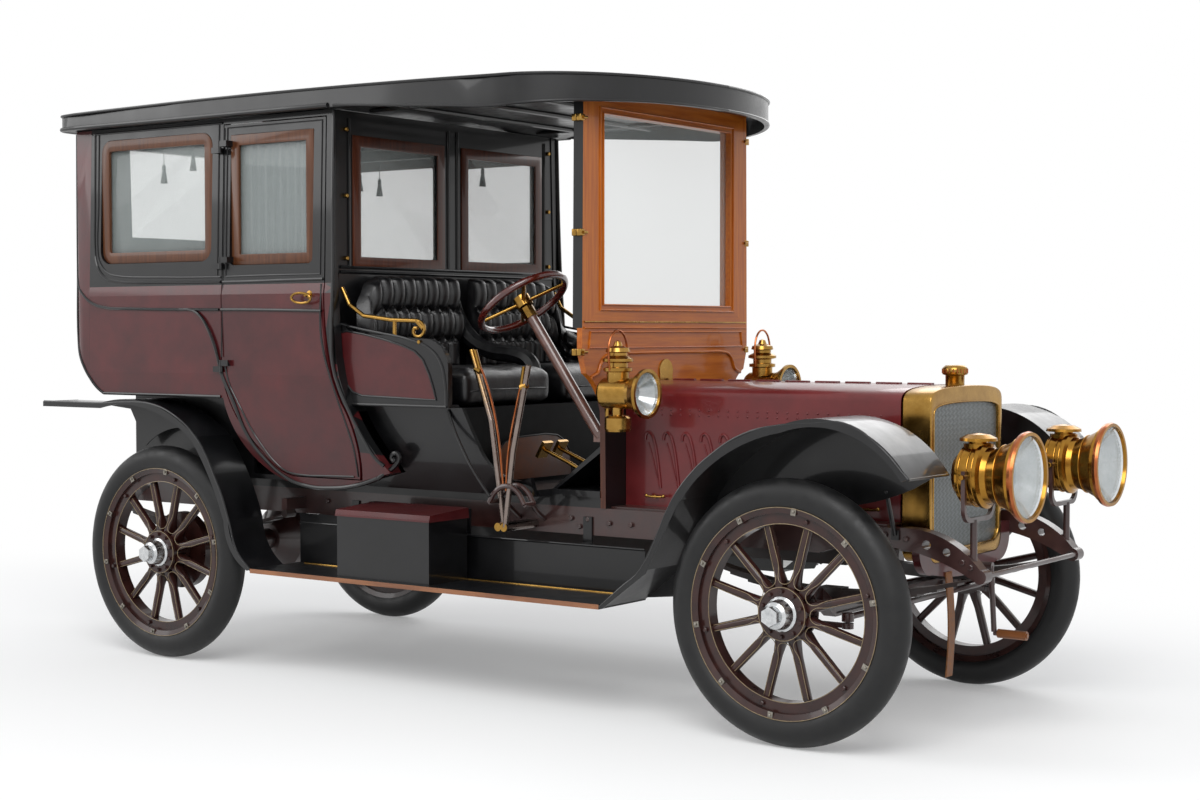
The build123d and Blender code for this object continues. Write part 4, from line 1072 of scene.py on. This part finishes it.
def plump_cushion(low, high, swell):
    """A sprung cushion: a rounded block blown up as cloth, with the swell held to a limit."""
    size = [b - a for a, b in zip(low, high)]
    bpy.ops.object.select_all(action="DESELECT")
    bpy.ops.mesh.primitive_cube_add(size=1, location=[(a + b) / 2 for a, b in zip(low, high)])
    pad = bpy.context.object
    pad.scale = [s - swell for s in size]
    bpy.ops.object.transform_apply(location=True, rotation=True, scale=True)
    soft = pad.modifiers.new("soft", "BEVEL")
    soft.width = 0.032
    soft.segments = 4
    bpy.ops.object.modifier_apply(modifier="soft")
    fine = pad.modifiers.new("fine", "REMESH")
    fine.mode = "VOXEL"
    fine.voxel_size = 0.016
    bpy.ops.object.modifier_apply(modifier="fine")
    before = [vertex.co.copy() for vertex in pad.data.vertices]
    cloth = pad.modifiers.new("cloth", "CLOTH")
    cloth.settings.use_pressure = True
    cloth.settings.uniform_pressure_force = 4
    cloth.settings.effector_weights.gravity = 0
    scene = bpy.context.scene
    for step in range(1, 19):
        scene.frame_set(step)
    bpy.ops.object.modifier_apply(modifier="cloth")
    scene.frame_set(1)
    for vertex, was in zip(pad.data.vertices, before):
        move = vertex.co - was
        if move.length > swell * 0.75:
            vertex.co = was + move * (swell * 0.75 / move.length)
        vertex.co.z = max(vertex.co.z, low[2] + 0.002)
    smooth = pad.modifiers.new("smooth", "SUBSURF")
    smooth.levels = 1
    smooth.render_levels = 1
    bpy.ops.object.modifier_apply(modifier="smooth")
    return pad


seat_floor = 1.112
for side, out in (("right", -1), ("left", 1)):
    plan = []
    for x, y, nx, ny, top in ((-0.075, 0.664, 0, -1, 1.300), (-0.200, 0.666, 0, -1, 1.335),
                              (-0.300, 0.668, 0, -1, 1.365),
                              (-0.390, 0.668, 0.1, -1, 1.395), (-0.440, 0.660, 0.7, -1, 1.430),
                              (-0.462, 0.638, 1, -0.5, 1.520), (-0.466, 0.600, 1, -0.1, 1.600),
                              (-0.466, 0.540, 1, 0, 1.632), (-0.466, 0.300, 1, 0, 1.636),
                              (-0.466, 0.055, 1, 0, 1.634)):
        plan.append((x, out * y, nx, out * ny, top))
    panel = buttoned_panel(plan, 1.235, 0.068, 3, 0.040)
    finish_piece(panel, f"seat_back_{side}", black_hide, "chassis")
    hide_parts("front_seat")
    low_y, high_y = sorted((out * 0.022, out * 0.630))
    pad = plump_cushion((-0.44, low_y, seat_floor), (0.058, high_y, 1.262), 0.022)
    finish_piece(pad, f"seat_cushion_{side}", black_hide, "chassis")
    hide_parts("front_seat")
    piping = [(0.030, out * 0.085, 1.172), (0.0565, out * 0.125, 1.177), (0.0590, out * 0.30, 1.178),
              (0.0565, out * 0.535, 1.177), (0.030, out * 0.575, 1.172)]
    finish_piece(round_strip(piping, 0.0035), f"seat_piping_{side}", black_hide, "chassis")
    studs = [hex_bolt((x, out * 0.7155, z), (0, out, 0), 0.014, 0.008)
             for x, z in ((-0.528, 1.478), (-0.10, 1.366))]
    finish_piece(joined(studs), f"seat_side_studs_{side}", polished_brass, "chassis")

arm = round_strip([(-0.560, 0, 1.580), (-0.540, 0, 1.535), (-0.515, 0, 1.480), (-0.466, 0, 1.408),
                   (-0.395, 0, 1.350),
                   (-0.308, 0, 1.320), (-0.180, 0, 1.305), (-0.120, 0, 1.280), (-0.098, 0, 1.240),
                   (-0.092, 0, 1.190)],
                  0.036)
finish_piece(arm, "seat_centre_arm", black_hide, "chassis")
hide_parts("front_seat")


for side, out in (("right", -1), ("left", 1)):
    sweep = [(-0.008, 1.104), (0.017, 1.040), (0.066, 0.951), (0.124, 0.864), (0.198, 0.778)]
    bead = round_strip([(x, out * 0.6555, z) for x, z in sweep], 0.006)
    finish_piece(bead, f"seat_base_bead_{side}", coach_black, "chassis")


# Seat sides and rails
# Panelled ends in black frames with a maroon field, and a bent brass rail with a scroll.

side_face = 0.7155
for side, out in (("right", -1), ("left", 1)):
    field = [(-0.519, 1.401), (-0.484, 1.408), (-0.398, 1.397), (-0.285, 1.376), (-0.188, 1.352),
             (-0.125, 1.330),
             (-0.084, 1.298), (-0.052, 1.241), (-0.030, 1.184), (-0.017, 1.143), (-0.203, 1.147),
             (-0.400, 1.152),
             (-0.451, 1.166), (-0.480, 1.193), (-0.503, 1.246), (-0.517, 1.331)]
    frame_edge = [(-0.535, 1.440), (-0.455, 1.424), (-0.313, 1.402), (-0.146, 1.374), (-0.051, 1.342),
                  (0.002, 1.293),
                  (0.028, 1.201), (0.033, 1.120)]
    inset = framed_prism([(x, z) for x, z in field], None, out * 0.7145, out * 0.7165)
    inset.data.transform(Matrix(((0, 1, 0, 0), (1, 0, 0, 0), (0, 0, 1, 0), (0, 0, 0, 1))))
    finish_piece(inset, f"seat_side_panel_{side}", coach_maroon, "chassis")
    bpy.ops.object.select_all(action="DESELECT")
    bpy.context.view_layer.objects.active = inset
    inset.select_set(True)
    bpy.ops.object.mode_set(mode="EDIT")
    bpy.ops.mesh.select_all(action="SELECT")
    bpy.ops.mesh.normals_make_consistent(inside=False)
    bpy.ops.object.mode_set(mode="OBJECT")
    strips = [round_strip([(x, out * 0.7165, z) for x, z in field], 0.0042, closed=True, sharp=True),
              round_strip([(x, out * side_face, z) for x, z in frame_edge], 0.0055),
              round_strip([(-0.540, out * side_face, 1.118), (0.036, out * side_face, 1.118)], 0.0055,
                          sharp=True)]
    finish_piece(joined(strips), f"seat_side_mouldings_{side}", coach_black, "chassis")
    curl = [(-0.128, 1.449), (-0.100, 1.440), (-0.088, 1.415), (-0.100, 1.392), (-0.126, 1.388),
            (-0.142, 1.402),
            (-0.138, 1.418), (-0.122, 1.420)]
    curl = round_strip([(x, out * 0.702, z) for x, z in curl], 0.007)
    finish_piece(curl, f"seat_rail_curl_{side}", polished_brass, "chassis")
wear("seat_rails", polished_brass)


# Cabin seat
# A wide seat and buttoned back in black hide across the rear of the cabin.

rear_plan = [(-1.845, -0.60, 1, 0, 1.66), (-1.86, 0.0, 1, 0, 1.67), (-1.845, 0.60, 1, 0, 1.66)]
panel = buttoned_panel(rear_plan, 1.27, 0.085, 3, 0.034, step=0.009)
finish_piece(panel, "cabin_seat_back", black_hide, "chassis")
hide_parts("rear_seat")
pad = plump_cushion((-1.90, -0.54, 0.802), (-1.48, 0.54, 1.275), 0.022)
finish_piece(pad, "cabin_seat_cushion", black_hide, "chassis")
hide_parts("rear_seat")


# Driver's controls
# A raked column in brown enamel under a dark wood rim on brass spokes, two steel levers with
# brass grips on an iron quadrant, and brass pedals over a brown wood footboard.

# Polished dark wood of the steering rim: deep red-brown with a mirror-like coat.
rim_wood, tree, shader = new_material("polished dark rim wood", Coat_Weight=1.0, Coat_Roughness=0.06)
mottled(tree, shader, "#3A0F0C", "#54170F", 20, rough=(0.2, 0.3))
# Stoved brown enamel on the column: smooth, with a sharp highlight down its length.
column_enamel, tree, shader = new_material("brown column enamel", Coat_Weight=0.8, Coat_Roughness=0.1)
mottled(tree, shader, "#4E332C", "#6B4A40", 40, rough=(0.3, 0.4))
# Polished steel levers: warm grey with a long, soft highlight.
polished_steel, tree, shader = new_material("polished steel bar", Metallic=1.0)
mottled(tree, shader, "#7D706A", "#8E827B", 60, rough=(0.24, 0.32))
head = Vector((0.150, -0.385, 1.520))
foot = Vector((0.525, -0.385, 1.002))
rake = (head - foot).normalized()
wear("steering_wheel", polished_brass)
wear_part("steering_wheel", rim_wood, lambda place,
          normal: ((place - head) - (place - head).dot(rake) * rake).length
          > 0.1705)
wear("steering_column", column_enamel)
wear("hand_levers", polished_steel)
wear_part("hand_levers", polished_brass, lambda place,
          normal: place.z > 1.215 or (place.z < 0.70 and place.y < -0.60))
wear("pedals", polished_brass)
collar = round_strip([head - rake * 0.075, head - rake * 0.028], 0.028, sharp=True)
finish_piece(collar, "column_collar", polished_brass, "chassis")
rods = [round_strip([(0.082, -0.592, 1.300), (0.120, -0.592, 1.235), (0.178, -0.592, 1.060),
                     (0.215, -0.592, 0.80)], 0.0045),
        round_strip([(0.330, -0.622, 1.235), (0.300, -0.622, 1.120), (0.262, -0.622, 0.950),
                     (0.250, -0.622, 0.80)], 0.0045)]
finish_piece(joined(rods), "lever_release_rods", copper_trim, "chassis")
grips = [round_strip([(0.075, -0.592, 1.335), (0.100, -0.592, 1.262)], 0.008),
         round_strip([(0.338, -0.622, 1.275), (0.326, -0.622, 1.205)], 0.008),
         round_strip([(0.078, -0.592, 1.262), (0.103, -0.592, 1.250)], 0.013, sharp=True),
         round_strip([(0.352, -0.622, 1.205), (0.325, -0.622, 1.195)], 0.013, sharp=True)]
finish_piece(joined(grips), "lever_grips", polished_brass, "chassis")
bands = []
for y in (-0.578, -0.636):
    bands.append(round_strip([(0.180, y, 0.755), (0.212, y, 0.798), (0.265, y, 0.820), (0.315, y, 0.800),
                              (0.350, y, 0.752)], 0.010))
bands.append(round_strip([(0.180, -0.636, 0.755), (0.180, -0.578, 0.755)], 0.010, sharp=True))
bands.append(round_strip([(0.350, -0.636, 0.752), (0.350, -0.578, 0.752)], 0.010, sharp=True))
bands.append(round_strip([(0.190, -0.578, 0.770), (0.180, -0.500, 0.72), (0.170, -0.432, 0.68)], 0.009))
bands.append(round_strip([(0.325, -0.578, 0.780), (0.300, -0.500, 0.72), (0.290, -0.432, 0.68)], 0.009))
finish_piece(joined(bands), "lever_quadrant", chassis_enamel, "chassis")
# Varnished footboard wood: mid brown, with the grain across the car.
brown_board = grained("brown footboard wood", "#5C3018", "#7C4524", "y")
wear_part("front_floor", brown_board, lambda place,
          normal: place.x > 0.34 and normal.x < -0.3 and place.z > 0.80)


# Starting crank and strap
# A painted iron crank with a turned wood grip, and a tan leather strap that hangs from the
# apron to hold the crank up on the road.

# Dull black paint on the seat box: flat and dark, with hardly any reflection.
dull_box, tree, shader = new_material("dull black seat box", Specular_IOR_Level=0.15, Roughness=0.6)
mottled(tree, shader, "#08090A", "#111213", 60, bump_mm=0.2)
for name in ("front_floor", "front_body_sides", "cabin_division"):
    wear_part(name, dull_box, lambda place,
              normal: normal.x > 0.5 and -0.30 < place.x < 0.25 and place.z < 1.2)
arch = [(-0.465, 0.815), (-0.462, 0.870), (-0.440, 0.930), (-0.395, 0.968), (-0.325, 0.985), (-0.130, 0.990),
        (-0.050, 0.982), (0.005, 0.955), (0.040, 0.905), (0.050, 0.850), (0.050, 0.815)]
# Turned wood of the crank grip: light brown with grain along it.
grip_wood = grained("turned crank grip", "#6A3E1E", "#94592C", "x")
cover = softened(framed_prism(arch, None, 0.0605, 0.0645), 0.001)
# Brown hide panel on the seat box: half matte, with a fine grain.
brown_hide, tree, shader = new_material("brown hide panel", Coat_Weight=0.2, Coat_Roughness=0.2)
mottled(tree, shader, "#43210F", "#573019", 35, rough=(0.4, 0.6), bump_mm=0.3)
finish_piece(cover, "seat_box_cover", brown_hide, "chassis")
border = round_strip([(0.0635, y, z) for y, z in arch], 0.004, sharp=True)
finish_piece(border, "seat_box_cover_edge", coach_black, "chassis")
wear_part("starting_crank", grip_wood, lambda place, normal: place.x > 1.986)
# Saddle leather strap: tan and dry, nearly matte.
saddle_hide, tree, shader = new_material("tan saddle leather strap", Coat_Weight=0.1)
mottled(tree, shader, "#6B3F1C", "#8A5729", 18, rough=(0.5, 0.7), bump_mm=0.4)
strap_x = 1.868
strap_y = -0.153
bpy.ops.object.select_all(action="DESELECT")
bpy.ops.mesh.primitive_cube_add(size=1, location=(strap_x, strap_y, 0.376))
belt = bpy.context.object
belt.scale = (0.005, 0.050, 0.370)
bpy.ops.object.transform_apply(location=True, rotation=True, scale=True)
bpy.ops.object.mode_set(mode="EDIT")
bpy.ops.mesh.select_all(action="SELECT")
bpy.ops.mesh.subdivide(number_cuts=12)
bpy.ops.object.mode_set(mode="OBJECT")
for vertex in belt.data.vertices:
    hang = (0.566 - vertex.co.z) / 0.380
    vertex.co.x += 0.010 * sin(hang * 2.6) - 0.003
    vertex.co.y += 0.008 * sin(hang * 3.4)
soft = belt.modifiers.new("soft", "BEVEL")
soft.width = 0.0012
soft.segments = 2
bpy.ops.object.modifier_apply(modifier="soft")
finish_piece(belt, "crank_strap", saddle_hide, "chassis")


# Roof
# Boards under sealed black cloth, with a black fascia and a half-round drip moulding along
# its lower edge.

# Cloth sealed with black dope: dull black with a slight crinkle.
roof_cloth, tree, shader = new_material("sealed black roof cloth", Specular_IOR_Level=0.3, Coat_Weight=0.3,
                                        Coat_Roughness=0.2)
tint = mottled(tree, shader, "#0B0B0D", "#151517", 50, rough=(0.35, 0.5), bump_mm=0.3)
dusted(tree, shader, tint, "#2A2B2D", 0.08)
roof_half = 0.800
corner_start = 0.330
corner_reach = 0.520


def fascia_low(x):
    """Height of the fascia's lower edge at a place along the car."""
    if x < -0.48:
        return 2.290
    if x < 0.33:
        return 2.290 - 0.057 * (x + 0.48) / 0.81
    return 2.233 + 0.022 * min(1.0, (x - 0.33) / 0.45)


def fascia_high(x):
    """Height of the fascia's upper edge at a place along the car."""
    return 2.366 - 0.009 * (min(x, 0.33) + 1.0) ** 2


half_plan = [(-2.150, 0.0), (-2.150, 0.30), (-2.150, 0.60), (-2.149, 0.720), (-2.142, 0.765), (-2.122, 0.790),
             (-2.090, 0.800)]
half_plan += [(-2.05 + 0.119 * step, 0.800) for step in range(20)]
half_plan += [(corner_start + corner_reach * sin(radians(turn)), roof_half * cos(radians(turn)))
              for turn in range(0, 91, 6)]
plan = half_plan + [(x, -y) for x, y in half_plan[-2:0:-1]]
roof_mesh = bmesh.new()


def roof_ring(scale, inset, height):
    """One loop of the roof: the plan drawn in by a scale and an inset, at a height for each place."""
    ring = []
    for x, y in plan:
        away = hypot(x + 0.6, y)
        pull = scale * (1 - inset / away)
        ring.append(roof_mesh.verts.new((-0.6 + (x + 0.6) * pull, y * pull, height(x))))
    return ring


rings = [roof_ring(0.0001, 0, lambda x: 2.305), roof_ring(0.5, 0, lambda x: 2.305 if x > -0.5 else 2.293),
         roof_ring(1, 0.020, lambda x: 2.305 if x > -0.5 else 2.293),
         roof_ring(1, 0.016, lambda x: fascia_low(x) + 0.001),
         roof_ring(1, 0, lambda x: fascia_low(x) + 0.001),
         roof_ring(1, 0, fascia_high), roof_ring(1, 0.006, lambda x: fascia_high(x) + 0.006)]
for scale, rise in ((0.94, 0.014), (0.80, 0.028), (0.60, 0.042), (0.35, 0.050), (0.0001, 0.055)):
    rings.append(roof_ring(scale, 0, lambda x: 2.352 + (fascia_high(x) - 2.352) * scale + rise))
for lower, upper in zip(rings, rings[1:]):
    for k in range(len(plan)):
        n = (k + 1) % len(plan)
        roof_mesh.faces.new((lower[k], lower[n], upper[n], upper[k]))
bmesh.ops.remove_doubles(roof_mesh, verts=roof_mesh.verts, dist=0.0008)
bmesh.ops.recalc_face_normals(roof_mesh, faces=roof_mesh.faces)
mesh = bpy.data.meshes.new("roof_shell")
roof_mesh.to_mesh(mesh)
roof_mesh.free()
roof_shell = bpy.data.objects.new("roof_shell", mesh)
bpy.context.scene.collection.objects.link(roof_shell)
finish_piece(roof_shell, "roof_shell", coach_black, "chassis")
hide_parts("roof")
roof_shell.data.materials.append(roof_cloth)
for polygon in roof_shell.data.polygons:
    if abs(polygon.normal.z) > 0.6:
        polygon.material_index = 1

sides = [(-2.148, 0.60), (-2.149, 0.737), (-2.132, 0.783), (-2.09, 0.8005), (-1.6, 0.8005), (-1.1, 0.8005)]
front = [(corner_start + corner_reach * sin(radians(turn)), 0.8005 * cos(radians(turn)))
         for turn in range(0, 91, 10)]
ribs = [round_strip([(x, -0.72, 2.300), (x, 0.72, 2.300)], 0.012, sharp=True) for x in (-0.30, 0.0, 0.28)]
ribs += [round_strip([(-0.50, y, 2.300), (0.45, y, 2.300)], 0.010, sharp=True) for y in (-0.55, 0.55)]
finish_piece(joined(ribs), "roof_ribs", coach_black, "chassis")
for side, out in (("right", -1), ("left", 1)):
    drip = [round_strip([(x, out * y, 2.297) for x, y in sides + [(-0.50, 0.8005)]], 0.010)]
    edge = [(-0.47, 0.8005), (-0.2, 0.8005), (0.1, 0.8005)] + front
    drip.append(round_strip([(x, out * (y + 0.001), fascia_low(x) + 0.006) for x, y in edge], 0.005))
    drip.append(round_strip([(x, out * (y + 0.001), fascia_high(x) + 0.001) for x, y in sides + edge], 0.006))
    finish_piece(joined(drip), f"roof_drip_{side}", coach_black, "chassis")


# Smooth shading of the CAD faces
# Round faces shade smooth up to an edge angle, and edges stay crisp.

for name in nodes:
    bpy.ops.object.select_all(action="DESELECT")
    bpy.context.view_layer.objects.active = nodes[name]
    nodes[name].select_set(True)
    bpy.ops.object.shade_smooth_by_angle(angle=radians(32))
    nodes[name].select_set(False)


# Floor, light and camera
# A plain near-white floor that fades into a white studio, soft light, and the photo's view.

bpy.ops.object.select_all(action="DESELECT")
bpy.ops.mesh.primitive_plane_add(size=120)
floor = bpy.context.object
floor.name = "floor"
# Matte studio floor paint: pale and even, and it takes the shadow.
floor_paint, tree, shader = new_material("pale studio floor", Roughness=1.0, Specular_IOR_Level=0.0)
shader.inputs["Base Color"].default_value = linear("#E2E2E1")
place = add_node(tree, "ShaderNodeTexCoord")
reach = add_node(tree, "ShaderNodeVectorMath", {1: (1.0, 1.6, 1.0)}, {0: (place, "Object")},
                 operation="MULTIPLY")
away = add_node(tree, "ShaderNodeVectorMath", None, {0: (reach, "Vector")}, operation="LENGTH")
fade = add_node(tree, "ShaderNodeMapRange", {"From Min": 2.9, "From Max": 6.0}, {"Value": (away, "Value")},
                interpolation_type="SMOOTHSTEP")
glow = add_node(tree, "ShaderNodeEmission", {"Color": (1, 1, 1, 1), "Strength": 1.0})
rays = add_node(tree, "ShaderNodeLightPath")
direct = add_node(tree, "ShaderNodeMath", None, {0: (rays, "Is Camera Ray"),
                                                 1: (rays, "Is Transmission Ray")},
                  operation="MAXIMUM")
seen = add_node(tree, "ShaderNodeMath", None, {0: (direct, "Value"), 1: (rays, "Is Glossy Ray")},
                operation="MAXIMUM")
lift = add_node(tree, "ShaderNodeMath", {1: 0.24}, {0: (seen, "Value")}, operation="MULTIPLY")
soft_glow = add_node(tree, "ShaderNodeEmission", {"Color": (1, 1, 1, 1)}, {"Strength": (lift, "Value")})
lit = add_node(tree, "ShaderNodeAddShader", None, {0: (shader, "BSDF"), 1: (soft_glow, "Emission")})
white = add_node(tree, "ShaderNodeMath", None, {0: (seen, "Value"), 1: (fade, "Result")},
                 operation="MULTIPLY")
blend = add_node(tree, "ShaderNodeMixShader", None, {0: (white, "Value"), 1: (lit, "Shader"),
                                                     2: (glow, "Emission")})
tree.links.new(blend.outputs["Shader"], tree.nodes["Material Output"].inputs["Surface"])
floor.data.materials.append(floor_paint)

world = bpy.data.worlds.new("studio")
bpy.context.scene.world = world
world.use_nodes = True
tree = world.node_tree
tree.nodes.clear()
rays = add_node(tree, "ShaderNodeLightPath")
soft = add_node(tree, "ShaderNodeBackground", {"Color": linear("#F4F6FA"), "Strength": 0.62})
shown = add_node(tree, "ShaderNodeBackground", {"Color": (1, 1, 1, 1), "Strength": 1.0})
direct = add_node(tree, "ShaderNodeMath", None, {0: (rays, "Is Camera Ray"),
                                                 1: (rays, "Is Transmission Ray")},
                  operation="MAXIMUM")
seen = add_node(tree, "ShaderNodeMath", None, {0: (direct, "Value"), 1: (rays, "Is Glossy Ray")},
                operation="MAXIMUM")
mix = add_node(tree, "ShaderNodeMixShader", None, {0: (seen, "Value"), 1: (soft, 0), 2: (shown, 0)})
add_node(tree, "ShaderNodeOutputWorld", None, {"Surface": (mix, 0)})

for name, spot, target, size, watts in (
        ("key", (3.5, -6.0, 6.5), (0, 0, 1.0), 5.0, 420),
        ("fill", (-6.0, -4.5, 4.5), (0, 0, 1.0), 4.0, 120),
        ("back", (0.0, 6.5, 5.5), (0, 0, 1.0), 5.0, 160)):
    lamp = bpy.data.lights.new(name, "AREA")
    lamp.energy = watts
    lamp.size = size
    holder = bpy.data.objects.new(name, lamp)
    bpy.context.scene.collection.objects.link(holder)
    holder.location = spot
    holder.rotation_euler = (Vector(target) - Vector(spot)).to_track_quat("-Z", "Y").to_euler()

camera_place = Vector((4.7994, -6.3410, 1.4164))
camera_azimuth = radians(35.69)
camera_drop = radians(2.12)
ahead = Vector((-sin(camera_azimuth) * cos(camera_drop), cos(camera_azimuth) * cos(camera_drop),
                -sin(camera_drop)))
across = Vector((cos(camera_azimuth), sin(camera_azimuth), 0))
above = across.cross(ahead)
camera_data = bpy.data.cameras.new("camera")
camera_data.sensor_width = 36
camera_data.lens = 57.59
camera_data.clip_end = 200
camera = bpy.data.objects.new("camera", camera_data)
bpy.context.scene.collection.objects.link(camera)
turn = Matrix((across, above, -ahead)).transposed()
camera.matrix_world = Matrix.Translation(camera_place) @ turn.to_4x4()
bpy.context.scene.camera = camera

bpy.context.scene.view_settings.view_transform = "Standard"

bpy.context.view_layer.update()
